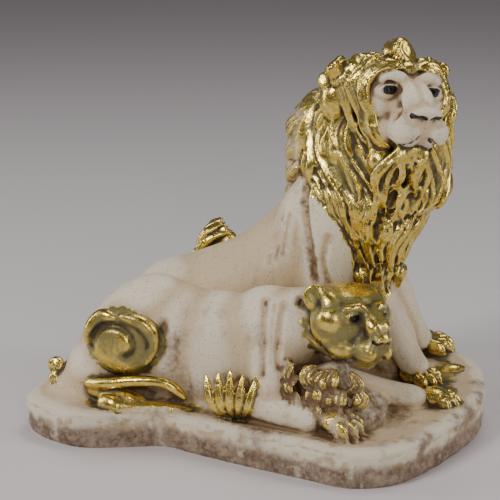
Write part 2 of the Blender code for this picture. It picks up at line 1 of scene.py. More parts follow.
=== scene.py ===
"""The looks of a lion couple statue: one ivory cast with worn gold leaf, on a pale floor in soft light."""

import logging
import math
from dataclasses import dataclass, field
from enum import Enum
from typing import Callable, Sequence

import bmesh
import bpy
import numpy as np
from mathutils import Euler, Matrix, Vector, noise
from mathutils.bvhtree import BVHTree
from mathutils.kdtree import KDTree


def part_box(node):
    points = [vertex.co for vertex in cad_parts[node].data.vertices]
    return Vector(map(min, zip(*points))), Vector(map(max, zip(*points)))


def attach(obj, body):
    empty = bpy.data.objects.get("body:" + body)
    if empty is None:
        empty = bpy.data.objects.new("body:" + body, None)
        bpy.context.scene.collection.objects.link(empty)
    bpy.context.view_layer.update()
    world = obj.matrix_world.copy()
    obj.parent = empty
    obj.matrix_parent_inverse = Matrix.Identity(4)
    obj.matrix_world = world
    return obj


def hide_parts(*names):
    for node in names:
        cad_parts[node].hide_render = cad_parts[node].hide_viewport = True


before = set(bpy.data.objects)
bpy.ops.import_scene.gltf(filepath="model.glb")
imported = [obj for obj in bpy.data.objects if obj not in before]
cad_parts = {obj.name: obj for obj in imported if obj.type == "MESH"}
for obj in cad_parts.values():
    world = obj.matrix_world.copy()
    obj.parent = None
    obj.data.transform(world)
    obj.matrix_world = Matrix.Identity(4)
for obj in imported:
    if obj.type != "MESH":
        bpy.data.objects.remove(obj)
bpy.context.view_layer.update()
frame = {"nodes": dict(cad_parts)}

LOG = logging.getLogger("lion_couple")
NODE = "lion_couple_statue"
Numbers = Sequence[float]
Section = Callable[[np.ndarray, np.ndarray, np.ndarray, np.ndarray], np.ndarray]


class Coat(Enum):
    """What a lump of the cast wears, as shares of gold leaf, of rock colour, of patina and of brown dirt."""

    IVORY = (0.0, 0.0, 0.0, 0.0)
    STAINED = (0.0, 0.0, 0.0, 0.85)
    WORN = (0.46, 0.0, 0.6, 0.55)
    GOLD = (1.0, 0.0, 0.0, 0.0)
    AGED = (1.0, 0.0, 0.8, 0.0)
    FUR = (0.43, 0.0, 0.2, 1.0)
    SPECKED = (0.38, 0.0, 0.1, 0.75)
    ROCK = (0.0, 1.0, 0.0, 0.0)


def turned(
    frame_: Matrix, place: Numbers, heading: float = 0.0, pitch: float = 0.0, roll: float = 0.0,
    size: float = 1.0,
) -> Matrix:
    """Places a frame inside another.

    Args:
        frame_: The outer frame.
        place: Where the inner frame's origin lies.
        heading: Degrees to the left, about the outer +Z.
        pitch: Degrees that the nose is raised.
        roll: Degrees about the way ahead.
        size: The inner frame's scale.

    Returns:
        The inner frame, +X ahead and +Y to its left.
    """
    turn = Euler((math.radians(roll), math.radians(-pitch), math.radians(heading)), "XYZ")
    return frame_ @ Matrix.LocRotScale(Vector(place), turn, Vector((size,) * 3))


def curve_through(stations: Sequence[Numbers], shares: np.ndarray) -> np.ndarray:
    """Reads a smooth curve through stations.

    Args:
        stations: Rows of values that the curve runs through.
        shares: Shares of the way along, each from 0 to 1.

    Returns:
        One row of values for each share.
    """
    known = np.array(stations, float)
    spans = len(known) - 1
    at = np.clip(shares, 0.0, 1.0) * spans
    k = np.minimum(at.astype(int), spans - 1)
    t = (at - k)[:, None]
    p = [known[np.clip(k + i, 0, spans)] for i in (-1, 0, 1, 2)]
    linear = p[2] - p[0]
    square = 2 * p[0] - 5 * p[1] + 4 * p[2] - p[3]
    cubic = 3 * p[1] - p[0] - 3 * p[2] + p[3]
    return 0.5 * (2 * p[1] + linear * t + square * t**2 + cubic * t**3)


def linked(name: str, data: bpy.types.ID) -> bpy.types.Object:
    """Makes an object and puts it in the scene.

    Args:
        name: Its name.
        data: Its mesh, lamp or camera.

    Returns:
        The object.
    """
    made = bpy.data.objects.new(name, data)
    bpy.context.scene.collection.objects.link(made)
    return made


def modified(mesh: bpy.types.Mesh, modifiers: dict[str, dict]) -> bpy.types.Mesh:
    """Runs modifiers over a mesh.

    Args:
        mesh: The mesh, which is kept.
        modifiers: Their settings, by type.

    Returns:
        What they make of it.
    """
    shape = linked("skin", mesh)
    for kind, settings in modifiers.items():
        modifier = shape.modifiers.new(kind, kind)
        for key, value in settings.items():
            setattr(modifier, key, value)
    result = bpy.data.meshes.new_from_object(shape.evaluated_get(bpy.context.evaluated_depsgraph_get()))
    bpy.data.objects.remove(shape)
    return result


def unit(vectors: np.ndarray) -> np.ndarray:
    """Makes each row one long."""
    return vectors / np.maximum(np.linalg.norm(vectors, axis=1), 1e-9)[:, None]


def chance(number: float | np.ndarray, layer: float) -> float | np.ndarray:
    """Gives shares from 0 to 1 that look random but are always the same for the same numbers."""
    return np.modf(np.abs(np.sin(number * 12.9898 + layer * 78.233)) * 43758.5453)[0]


@dataclass
class Line:
    """A curve laid on the skin, to be pressed in or painted."""

    points: np.ndarray
    width: float
    strength: float

    def snap(self, tree: BVHTree) -> None:
        """Lays the line on a skin.

        Args:
            tree: The skin.
        """
        for k, point in enumerate(self.points):
            spot = tree.find_nearest(point, 4 * self.width)[0]
            if spot:
                self.points[k] = spot

    def fall(self, places: np.ndarray) -> tuple[np.ndarray, np.ndarray]:
        """Measures how near places lie.

        Args:
            places: Rows of x, y, z.

        Returns:
            The indices of the places in reach, and a share from 0 to 1 for each.
        """
        low = self.points.min(axis=0) - 2.5 * self.width
        high = self.points.max(axis=0) + 2.5 * self.width
        near = np.flatnonzero(((places > low) & (places < high)).all(axis=1))
        far = np.linalg.norm(places[near][:, None] - self.points[None], axis=2).min(axis=1)
        return near, np.exp(-((far / self.width) ** 2))


@dataclass
class Clay:
    """Lumps to be pressed into one skin, the strokes on it, and what each lump wears."""

    lumps: list[bpy.types.Mesh] = field(default_factory=list)
    strokes: list[Line] = field(default_factory=list)
    paint: list[Line] = field(default_factory=list)
    washes: list[Line] = field(default_factory=list)
    samples: list[np.ndarray] = field(default_factory=list)
    coats: list[np.ndarray] = field(default_factory=list)
    coat: Coat = Coat.IVORY
    comb_width: float = 0.00075
    comb_depth: float = 0.0008
    ink_width: float = 0.8
    wash_width: float = 1.9

    def add(self, lump: bmesh.types.BMesh) -> None:
        """Keeps one lump.

        Args:
            lump: The lump, which is freed.
        """
        mesh = bpy.data.meshes.new("lump")
        lump.to_mesh(mesh)
        self.samples.append(np.array([vert.co for vert in lump.verts]))
        self.coats.append(np.tile(self.coat.value, (len(lump.verts), 1)))
        lump.free()
        self.lumps.append(mesh)

    def blob(self, frame_: Matrix, centre: Numbers, radii: Numbers, turn: Numbers = (0, 0, 0)) -> None:
        """Adds an ellipsoid.

        Args:
            frame_: The figure's frame.
            centre: Its middle.
            radii: Its radii along its own axes.
            turn: Degrees about x, y and z.
        """
        euler = Euler([math.radians(a) for a in turn], "XYZ")
        matrix = frame_ @ Matrix.LocRotScale(Vector(centre), euler, Vector(radii))
        lump = bmesh.new()
        bmesh.ops.create_icosphere(lump, subdivisions=4, radius=1.0, matrix=matrix)
        self.add(lump)

    def bent(
        self, frame_: Matrix, stations: Sequence[Numbers], section: Section, sides: int, rings: int
    ) -> None:
        """Adds a ball drawn out along a curve.

        Args:
            frame_: The figure's frame.
            stations: The curve's stations, x, y and z first.
            section: Gives the skin's offsets from the curve, from share, angle, place and way ahead.
            sides: Points round it.
            rings: Points along it.
        """
        lump = bmesh.new()
        ball = bmesh.ops.create_uvsphere(lump, u_segments=sides, v_segments=rings, radius=1.0)["verts"]
        round_ball = np.array([vert.co for vert in ball])
        share = np.arccos(np.clip(round_ball[:, 2], -1, 1)) / math.pi
        angle = np.arctan2(round_ball[:, 1], round_ball[:, 0])
        for vert, co in zip(ball, self.skin(stations, section, share, angle)):
            vert.co = frame_ @ Vector(co)
        self.add(lump)

    @staticmethod
    def skin(
        stations: Sequence[Numbers], section: Section, share: np.ndarray, angle: np.ndarray
    ) -> np.ndarray:
        """Reads places on the skin of a bent lump.

        Args:
            stations: The curve's stations.
            section: The lump's section.
            share: Shares of the way along.
            angle: Angles round it.

        Returns:
            Rows of x, y, z in the figure's frame.
        """
        place = curve_through(stations, share)[:, :3]
        ahead = unit((curve_through(stations, share + 0.02) - curve_through(stations, share - 0.02))[:, :3])
        return place + section(share, angle, place, ahead)

    def limb(
        self, frame_: Matrix, stations: Sequence[Numbers], sides: int = 16, rings: int = 24,
        beside: Numbers = (0.1, 0.2, 1),
    ) -> None:
        """Adds a tapering round limb.

        Args:
            frame_: The figure's frame.
            stations: Rows of x, y, z and radius.
            sides: Points round it.
            rings: Points along it.
            beside: A direction that the limb never takes.
        """

        def section(share: np.ndarray, angle: np.ndarray, place: np.ndarray, ahead: np.ndarray) -> np.ndarray:
            """Gives round offsets.

            Args:
                share: Shares of the way along.
                angle: Angles round it.
                place: The curve's places.
                ahead: The curve's directions.

            Returns:
                A row of x, y, z for each.
            """
            side = unit(np.cross(ahead, beside))
            up = np.cross(side, ahead)
            rounded_ends = np.minimum(1.0, 2.2 * np.sin(math.pi * share)) ** 0.5
            radius = curve_through(stations, share)[:, 3] * rounded_ends
            return (side * np.cos(angle)[:, None] + up * np.sin(angle)[:, None]) * radius[:, None]

        self.bent(frame_, stations, section, sides, rings)

    def lock(
        self, frame_: Matrix, path: Sequence[Numbers], core: Numbers, width: float, depth: float,
        ridges: int = 2, groove: float = 0.28, combs: int = 3,
    ) -> None:
        """Adds a lock of hair, combed along its length.

        Args:
            frame_: The figure's frame.
            path: Rows of x, y, z from root to tip.
            core: The place that the lock lies round.
            width: Half its width.
            depth: Half its depth.
            ridges: How many folds run along each face.
            groove: How deep these are, as a share of its size.
            combs: How many fine grooves are pressed into its outer face.
        """

        def section(share: np.ndarray, angle: np.ndarray, place: np.ndarray, ahead: np.ndarray) -> np.ndarray:
            """Gives the lock's folded offsets.

            Args:
                share: Shares of the way along.
                angle: Angles round it.
                place: The curve's places.
                ahead: The curve's directions.

            Returns:
                A row of x, y, z for each.
            """
            side = unit(np.cross(ahead, unit(place - np.array(core))))
            out = np.cross(side, ahead)
            swell = np.sin(math.pi * np.minimum(share * 1.3, 0.5 + share * 0.5)) ** 0.7
            comb = 1.0 - groove * (0.5 + 0.5 * np.cos(2 * ridges * angle)) * np.abs(np.sin(angle))
            flat = side * (width * np.cos(angle))[:, None] + out * (depth * np.sin(angle))[:, None]
            return flat * (swell * comb)[:, None]

        self.bent(frame_, path, section, 20, 26)
        middles = curve_through(path, np.linspace(0, 1, 12))[:, :3]
        length = np.linalg.norm(np.diff(middles, axis=0), axis=1).sum()
        share = np.linspace(0.06, 0.97, int(length * frame_.to_scale()[0] / (0.9 * self.comb_width)))
        for k in range(combs):
            angle = math.radians(90 + 72 * (k - 0.5 * (combs - 1)) / max(combs - 1, 1))
            line = self.skin(path, section, share, np.full(len(share), angle))
            self.strokes.append(self.laid(frame_, line, self.comb_width, self.comb_depth))

    def curl(self, frame_: Matrix, centre: Numbers, radius: float, axis: Numbers, turns: float = 1.7) -> None:
        """Adds a ball of hair with a thick strand coiled round it.

        Args:
            frame_: The figure's frame.
            centre: Its middle.
            radius: Its radius.
            axis: The coil's axis.
            turns: How often the strand goes round.
        """
        self.blob(frame_, centre, (radius * 0.84,) * 3)
        way = Vector(axis).normalized()
        side = way.orthogonal().normalized()
        third = way.cross(side)
        path = []
        for k in range(13):
            t = k / 12
            spin = 2 * math.pi * turns * t
            rise = math.cos(math.pi * (0.10 + 0.78 * t))
            place = way * rise + (side * math.cos(spin) + third * math.sin(spin)) * math.sqrt(1 - rise**2)
            thickness = radius * (0.26 + 0.1 * math.sin(math.pi * t))
            path.append((*(Vector(centre) + place * radius * 0.82), thickness))
        self.limb(frame_, path, 12, 56, beside=way)
        for lift in (-0.12, 0.12):
            places = [Vector(station[:3]) for station in path]
            line = np.array([p + (p - Vector(centre)) * 0.3 + way * lift * radius for p in places])
            points = curve_through(line, np.linspace(0, 1, 40))
            self.strokes.append(self.laid(frame_, points, self.comb_width, self.comb_depth))

    @staticmethod
    def laid(frame_: Matrix, points: np.ndarray, width: float, strength: float) -> Line:
        """Moves a line of figure places into the model's metres."""
        return Line(np.array([frame_ @ Vector(p) for p in points]), width, strength)

    def stroke(
        self, frame_: Matrix, stations: Sequence[Numbers], width: float, depth: float,
        ink: float = 0, wash: float = 0,
    ) -> None:
        """Notes a groove to press in along a curve.

        Args:
            frame_: The figure's frame.
            stations: Rows of x, y, z.
            width: Its width, in the figure's steps.
            depth: Its depth, in the figure's steps; a negative one raises a ridge.
            ink: How dark the groove is painted, from 0 to 1.
            wash: How much brown wash lies in and beside it, from 0 to 1.
        """
        scale = frame_.to_scale()[0]
        points = curve_through(np.array(stations, float)[:, :3], np.linspace(0, 1, 30))
        line = self.laid(frame_, points, width * scale, depth * scale)
        self.strokes.append(line)
        if ink:
            self.paint.append(Line(line.points, line.width * self.ink_width, ink))
        if wash:
            self.washes.append(Line(line.points, line.width * self.wash_width, wash))

    def press(self, voxel: float, smoothing: int) -> bpy.types.Mesh:
        """Presses the lumps into one skin, smooths it and presses the strokes in.

        Args:
            voxel: The edge of the skin's small squares.
            smoothing: How many times it is smoothed.

        Returns:
            The skin, which is also the only lump left.
        """
        heap = bmesh.new()
        for lump in self.lumps:
            heap.from_mesh(lump)
            bpy.data.meshes.remove(lump)
        mesh = bpy.data.meshes.new("skin")
        heap.to_mesh(mesh)
        heap.free()
        smooth = {"factor": 0.5, "iterations": smoothing}
        skin = modified(mesh, {"REMESH": {"mode": "VOXEL", "voxel_size": voxel}, "SMOOTH": smooth})
        places, outward = Statue.arrays(skin)
        tree = Statue.tree(skin)
        for line in self.strokes:
            line.snap(tree)
            near, fall = line.fall(places)
            places[near] -= outward[near] * (line.strength * fall)[:, None]
        skin.vertices.foreach_set("co", places.ravel())
        skin.update()
        self.lumps = [skin]
        self.strokes = []
        return skin


@dataclass(frozen=True)
class Rock:
    """The rock base: a chipped outline drawn up in rings, with a lip round its top."""

    length: float = 0.302
    width: float = 0.180
    thickness: float = 0.024
    back_rise: float = 0.012
    lip: float = 0.0025
    undercut: float = 0.004
    points: int = 360
    outline: tuple[tuple[float, float], ...] = (
        (-0.495, -0.37), (-0.36, -0.47), (-0.25, -0.42), (-0.16, -0.36), (-0.09, -0.39),
        (0.03, -0.43), (0.18, -0.47), (0.28, -0.50), (0.36, -0.44), (0.42, -0.31),
        (0.475, -0.08), (0.50, 0.14), (0.475, 0.36), (0.40, 0.485), (0.25, 0.50),
        (0.0, 0.48), (-0.25, 0.49), (-0.42, 0.36), (-0.49, 0.08), (-0.50, -0.18),
    )
    rings: tuple[tuple[float, float], ...] = (
        (0.950, 0.0), (0.978, 0.15), (0.993, 0.30), (0.982, 0.48), (0.990, 0.64), (0.984, 0.74),
        (1.000, 0.88), (0.985, 0.97), (0.955, 1.00), (0.915, 0.965), (0.60, 0.93), (0.25, 0.93),
    )

    def top(self, x: float, y: float) -> float:
        """Gives the height of the rock's top.

        Args:
            x: How far ahead of the middle.
            y: How far behind the middle.

        Returns:
            The height there.
        """
        back = min(max(0.5 + y / self.width, 0.0), 1.0)
        ahead = min(max(0.5 + x / self.length, 0.0), 1.0)
        return self.thickness + self.lip + self.back_rise * back**2 * ahead

    def model(self, clay: Clay) -> None:
        """Adds the rock to the clay.

        Args:
            clay: What it is added to.
        """
        clay.coat = Coat.ROCK
        spans = len(self.outline)
        outline = []
        for k in range(self.points):
            at = spans * k / self.points
            near = [self.outline[(int(at) + i) % spans] for i in (-1, 0, 1, 2)]
            x, y = curve_through(near, np.array([(1 + at % 1) / 3]))[0]
            turn = 120 * k / self.points
            chip = 0.006 * math.sin(2.9 * turn) * math.sin(0.7 * turn) + 0.004 * math.sin(0.41 * turn)
            outline.append((x * self.length * (1 + chip), y * self.width * (1 + chip)))
        lump = bmesh.new()
        loop = bmesh.ops.create_circle(lump, segments=self.points, radius=1.0, cap_ends=False)["verts"]
        edges = list({edge for vert in loop for edge in vert.link_edges})
        bmesh.ops.edgeloop_fill(lump, edges=edges)
        rings = [loop]
        for _ in self.rings[1:]:
            made = bmesh.ops.extrude_edge_only(lump, edges=edges)["geom"]
            edges = [g for g in made if isinstance(g, bmesh.types.BMEdge) and len(g.link_faces) == 1]
            rings.append([g for g in made if isinstance(g, bmesh.types.BMVert)])
        for (share, rise), ring in zip(self.rings, rings):
            for vert, (x, y) in zip(ring, outline):
                top = self.top(x * share, y * share)
                vert.co = (x * share, y * share, -self.undercut + (top + self.undercut) * rise)
        bmesh.ops.edgeloop_fill(lump, edges=edges)
        bmesh.ops.recalc_face_normals(lump, faces=lump.faces)
        clay.add(lump)


@dataclass(frozen=True)
class Head:
    """A big cat's head without its hair, in its own units, +X the way that it looks."""

    frame: Matrix
    skull: tuple[float, float, float]
    muzzle: float
    pads: float
    coat: Coat
    chin: Coat
    hollowed: float = 1.0
    askew: float = 0.0

    @property
    def snout(self) -> Matrix:
        """Gives the muzzle's frame, turned a little aside from the head's own."""
        return turned(self.frame, (0, 0, 0), heading=self.askew)

    def model(self, clay: Clay) -> None:
        """Adds skull, brow, bridge, muzzle, nose, chin and cheeks, and notes the face's lines.

        Args:
            clay: What they are added to.
        """
        clay.coat = self.coat
        clay.blob(self.frame, (-2, 0, 0), self.skull)
        out, pads, half, broad = self.muzzle, self.pads, 0.5 * self.skull[1], self.pads / 17.5
        bridge = [(10, 0, 12, 7.5), (21, 0, 10.5, 5.8), (26 + 0.5 * out, 0, 5, 6.2), (27 + out, 0, -1.5, 6.5)]
        for side in (-1, 1):
            clay.limb(self.frame, [(x, 3.4 * side, z, r) for x, y, z, r in bridge])
            brow = [(22, 4 * side, 11, 3), (24, 8 * side, 15.5, 3.6), (18, 18 * side, 12.5, 3.6)]
            clay.limb(self.frame, brow)
            for row in (
                ((7, half * side, 4), (14, half, 14)),
                ((12, 15 * side, 2), (9.5, 8, 14)),
                ((8, 0.86 * half * side, -14), (17, 10, 10)),
            ):
                clay.blob(self.frame, *row)
            pad = (19 + out, 0.46 * pads * side, -13.3)
            clay.blob(self.snout, pad, (12, 0.54 * pads, 9), (0, 8, 8 * side))
            clay.blob(self.snout, (28 + out, 7.5 * broad * side, -5.5), (5, 3.4, 3.4))
        clay.blob(self.snout, (13 + out, 0, -10), (16, 0.8 * pads, 12))
        clay.blob(self.snout, (28 + out, 0, -3.5), (6, 9.5 * broad, 5))
        clay.coat = self.chin
        clay.blob(self.snout, (12 + out, 0, -23), (10, 0.55 * pads, 5.5))
        self.lines(clay)

    def lines(self, clay: Clay) -> None:
        """Notes sockets, nostrils, mouth, whisker rows and the folds beside the nose.

        Args:
            clay: What they are pressed into.
        """
        out, deep, broad = self.muzzle, self.hollowed, self.pads / 17.5
        for side in (-1, 1):
            socket = [(27, 8.5 * side, 8), (22, 17.5 * side, 7.5)]
            clay.stroke(self.frame, socket, 3.4, 2.9 * deep, wash=0.12 * deep)
            fold = [(28, 9 * side, 5), (24 + 0.6 * out, 13 * side, -5)]
            clay.stroke(self.frame, fold, 2.4, 2.2 * deep, wash=0.16 * deep)
            y = broad * side
            nostril = [(32 + out, 3.2 * y, -7.4), (31.5 + out, 7 * y, -7.6), (28.5 + out, 11 * y, -5.4)]
            clay.stroke(self.snout, nostril, 2.2 * broad, 2.8 * broad, ink=1.2)
            mouth = [(31 + out, 0, -20), (27 + out, 8 * y, -23.5), (17 + out, 15 * y, -24)]
            clay.stroke(self.snout, mouth, 1.4, 2.4, ink=0.8, wash=0.6)
            for row in range(3):
                z = -11 - 3 * row
                whiskers = [(30 + out, 7 * side, z), (24 + out, 13 * side, z + 0.6)]
                whiskers.append((17 + out, 16.5 * side, z + 1.4))
                clay.stroke(self.snout, whiskers, 0.8, 0.7)
        clay.stroke(self.snout, [(34 + out, 0, -11.5), (33 + out, 0, -18.5)], 1.1, 1.6, ink=0.6, wash=0.4)

    def eyes(self, clay: Clay) -> None:
        """Adds eyeballs and lids, and paints the eyes.

        Args:
            clay: What they are added to.
        """
        clay.coat = self.coat
        for side in (-1, 1):
            clay.blob(self.frame, (18.6, 13 * side, 7), (4.6, 7, 5))
            clay.blob(self.frame, (21, 12.6 * side, 7.8), (3.9, 3.9, 2.7))
            lid = []
            for k in range(5):
                across = -5.6 + 2.8 * k
                arch = 3.0 * (1 - (across / 6.8) ** 2)
                lid.append((24.2 - 0.06 * across**2, (12.6 + across) * side, 7.7 + arch, 0.9))
            clay.limb(self.frame, lid, 10, 24)
            slit = np.linspace(10.6, 14.6, 9)
            almond = np.array([(25.2 - 0.05 * (y - 12.6) ** 2, y * side, 7.8) for y in slit])
            clay.paint.append(clay.laid(self.frame, almond, 2.6 * self.frame.to_scale()[0], 1.6))


@dataclass(frozen=True)
class Paw:
    """A paw flat on the rock: the pad and four toes side by side."""

    frame: Matrix
    coat: Coat = Coat.GOLD

    def model(self, clay: Clay) -> None:
        """Adds the paw.

        Args:
            clay: What it is added to.
        """
        clay.coat = self.coat
        clay.blob(self.frame, (-2, 0, 3), (12, 11, 8.5))
        for number, (ahead, spread) in enumerate(((7, -8.4), (11, -3), (11, 3), (7, 8.4))):
            clay.blob(self.frame, (ahead, spread, 1), (7.5, 3.4, 7), (0, 0, (number - 1.5) * 9))
            clay.blob(self.frame, (ahead + 6.2, spread * 1.1, -2), (2.2, 1.2, 2.2))


@dataclass(frozen=True)
class Figure:
    """One of the animals, in 240ths of its own size from the middle of the rock's top."""

    size: float = 0.240
    steps: int = 240
    seat: float = 0.024

    @property
    def frame(self) -> Matrix:
        """Gives its own frame."""
        return Matrix.Translation((0, 0, self.seat)) @ Matrix.Scale(self.size / self.steps, 4)


@dataclass(frozen=True)
class Lioness(Figure):
    """The lioness, who lies in front; her size is her length."""

    @property
    def head(self) -> Head:
        """Gives her head."""
        own = turned(self.frame, (66.5, -29, 65.6), heading=-37, pitch=3.5, roll=-7, size=0.93)
        return Head(own, (28, 31, 27), 10.5, 13, Coat.AGED, Coat.AGED, 0.32)

    def body(self, clay: Clay) -> None:
        """Adds rump, back, belly, chest and neck.

        Args:
            clay: What they are added to.
        """
        clay.coat = Coat.IVORY
        for row in (
            ((-83, -28, 40), (52, 31, 31), (0, -51, 0)),
            ((-104, -34, 20), (40, 26, 22), (0, -51, 0)),
            ((-116, -38, 4), (26, 24, 12)),
            ((-56, -26, 40), (40, 32, 40)),
            ((-20, -26, 34), (48, 31, 42)),
            ((14, -27, 42), (34, 28, 42)),
        ):
            clay.blob(self.frame, *row)
        clay.limb(self.frame, [(0, -26, 40, 26), (20, -28, 54, 27), (38, -24, 60, 24), (56, -20, 60, 18)])
        clay.limb(self.frame, [(18, -40, 50, 18), (22, -50, 26, 15), (26, -56, 10, 11)])

    def limbs(self, clay: Clay) -> None:
        """Adds her forelegs and thigh.

        Args:
            clay: What they are added to.
        """
        clay.coat = Coat.IVORY
        clay.limb(self.frame, [(-4, -51, 14, 12), (28, -59, 12, 11), (62, -64, 9, 9.5)])
        clay.limb(self.frame, [(30, -24, 26, 16), (60, -20, 18, 13), (90, -9, 10, 10), (118, 2, 5, 8.5)])
        clay.coat = Coat.STAINED
        clay.blob(self.frame, (72, -30, 6), (24, 26, 14))
        clay.limb(self.frame, [(50, -36, 36, 20), (60, -44, 16, 18), (66, -48, 2, 16)])
        clay.coat = Coat.AGED
        clay.blob(self.frame, (-81, -53, 43), (26, 12, 23), (0, 8, 0))
        for rim in (
            [(-102, -58, 38, 3.5), (-101, -60, 52, 5), (-93, -58, 62, 5), (-81, -61, 61, 4)],
            [(-81, -61, 64, 3), (-63, -60, 60, 5), (-55, -58, 46, 5), (-63, -60, 28, 4)],
        ):
            clay.limb(self.frame, rim)
        swirl = []
        for k in range(9):
            turn, reach = math.radians(190 - 30 * k), 0.80 - 0.055 * k
            across, up = reach * math.cos(turn), reach * math.sin(turn)
            out = 12 * math.sqrt(1 - across**2 - up**2)
            swirl.append((-81 + 26 * across, -53 - out, 43 + 23 * up))
        clay.stroke(self.frame, swirl, 2.4, 3.0, wash=0.8)

    def furrows(self, clay: Clay) -> None:
        """Notes the furrows of her neck, cheek and flank, and paints a shadow line behind her cheek.

        Args:
            clay: What they are pressed into.
        """
        for row in (
            ([(15, -44, 81), (18, -55, 56), (20, -58, 34)], 2.6, 3.0, 0, 0.42),
            ([(28, -46, 82), (28, -56, 58), (30, -58, 40)], 2.4, 2.6, 0, 0.42),
            ([(22, -46, 80), (23, -56, 60), (24, -58, 42)], 1.4, 1.2, 0, 0.3),
            ([(-42, -54, 48), (-38, -57, 26), (-30, -58, 8)], 7.0, 0.4, 0, 0.7),
            ([(-40, -58, 6), (-12, -58, 5), (16, -58, 6)], 6.0, 0.4, 0, 0.8),
            ([(60, -58, 30), (84, -40, 14), (104, -22, 10)], 7.0, 0.4, 0, 0.8),
        ):
            clay.stroke(self.frame, *row)
        # painted shadow: the groove in the gap between her head and neck is painted dark with ink and brown
        # wash
        behind_cheek = [(39, -40, 88), (41, -48, 76), (45, -53, 60), (57, -56, 46), (70, -54, 42)]
        clay.stroke(self.frame, behind_cheek, 2.6, 2.6, ink=0.65, wash=0.8)
        behind_thigh = [(-51, -56, 60), (-49, -60, 42), (-57, -62, 24)]
        clay.stroke(self.frame, behind_thigh, 3.0, 3.0, ink=0.45, wash=1.0)

    def ears(self, clay: Clay) -> None:
        """Adds her round ears.

        Args:
            clay: What they are added to.
        """
        clay.coat = Coat.AGED
        for side in (-1, 1):
            clay.blob(self.head.frame, (-2, 18 * side, 13), (16, 11, 12))
            own = turned(self.head.frame, (-1, 26 * side, 16), heading=40 * side, roll=-34 * side, size=1.15)
            clay.blob(own, (-1, 0, 1), (4.8, 8, 9))
            rim = []
            for k in range(9):
                spin = math.radians(-20 + 220 * k / 8)
                rim.append((0.8, 6.6 * math.cos(spin), 2 + 7.4 * math.sin(spin), 1.1))
            clay.limb(own, rim, 10, 40, beside=(1, 0.1, 0.1))
            clay.stroke(own, [(2.6, 0, -2), (2.6, 0, 5)], 2.6, 1.6, wash=0.7)
        clay.blob(self.head.frame, (-2, 0, 13), (24, 24, 14.5))

    def tail(self, clay: Clay) -> None:
        """Adds her hind leg flat on the rock and the tail that lies over it.

        Args:
            clay: What they are added to.
        """
        clay.coat = Coat.GOLD
        clay.limb(self.frame, [(-128, -40, 8, 6), (-104, -52, 8, 8), (-82, -60, 6, 7), (-60, -62, 4, 5)])
        clay.limb(self.frame, [(-96, -62, 3, 5), (-84, -66, 3, 7), (-74, -65, 2, 6), (-30, -54, 1, 3)])
        tail = [(-118, -50, 9, 4), (-92, -62, 15, 4), (-70, -63, 20, 3.6)]
        tail += [(-48, -60, 20, 3.6), (-34, -57, 9, 3.2)]
        clay.limb(self.frame, tail, 14, 44)
        clay.curl(self.frame, (-134, -45, 17), 6, (0.3, -1, 0.3))
        clay.lock(self.frame, [(-136, -44, 14), (-134, -50, 9), (-126, -52, 2)], (-130, -40, 8), 4.5, 4)

    def fur(self, clay: Clay) -> None:
        """Adds the fur under her chin and down her chest.

        Args:
            clay: What it is added to.
        """
        clay.coat = Coat.STAINED
        clay.blob(self.frame, (54, -46, 20), (24, 9, 18))
        clay.coat = Coat.FUR
        for row in range(3):
            for k in range(7):
                number = 7 * row + k
                x = 31 + 7 * k + 3 * (row % 2) + 4 * chance(number, 1)
                y = -50 - 6 * math.sin(math.pi * (k + 0.5) / 7) - 3 * row - 2.5 * chance(number, 2)
                z = 37 - 9 * row - 0.7 * k - 5 * chance(number, 3)
                way = 14 * chance(number, 4) - 6
                path = [(x, y + 2, z + 9), (x + way, y - 2, z + 2)]
                path += [(x + 0.4 * way, y - 2.4, z - 4), (x + 3, y - 1, z - 10)]
                clay.lock(self.frame, path, (x, -30, z), 3.2 + 3.2 * chance(number, 5), 3.6)

    def grass(self, clay: Clay) -> None:
        """Adds the tuft of blades that grows against her belly.

        Args:
            clay: What it is added to.
        """
        clay.coat = Coat.STAINED
        clay.blob(self.frame, (-1, -52, 1), (15, 7, 5))
        clay.coat = Coat.GOLD
        for k in range(5):
            foot, tip = (-6 + 3 * k, -61, 0), (-19 + 8.5 * k, -61, 37 - 3 * abs(k - 2))
            middle = (0.4 * foot[0] + 0.6 * tip[0], -66, 13)
            core = (0.5 * (foot[0] + tip[0]), -40, 12)
            clay.lock(self.frame, [tip, middle, foot], core, 3.3, 3.0, ridges=1, combs=1)


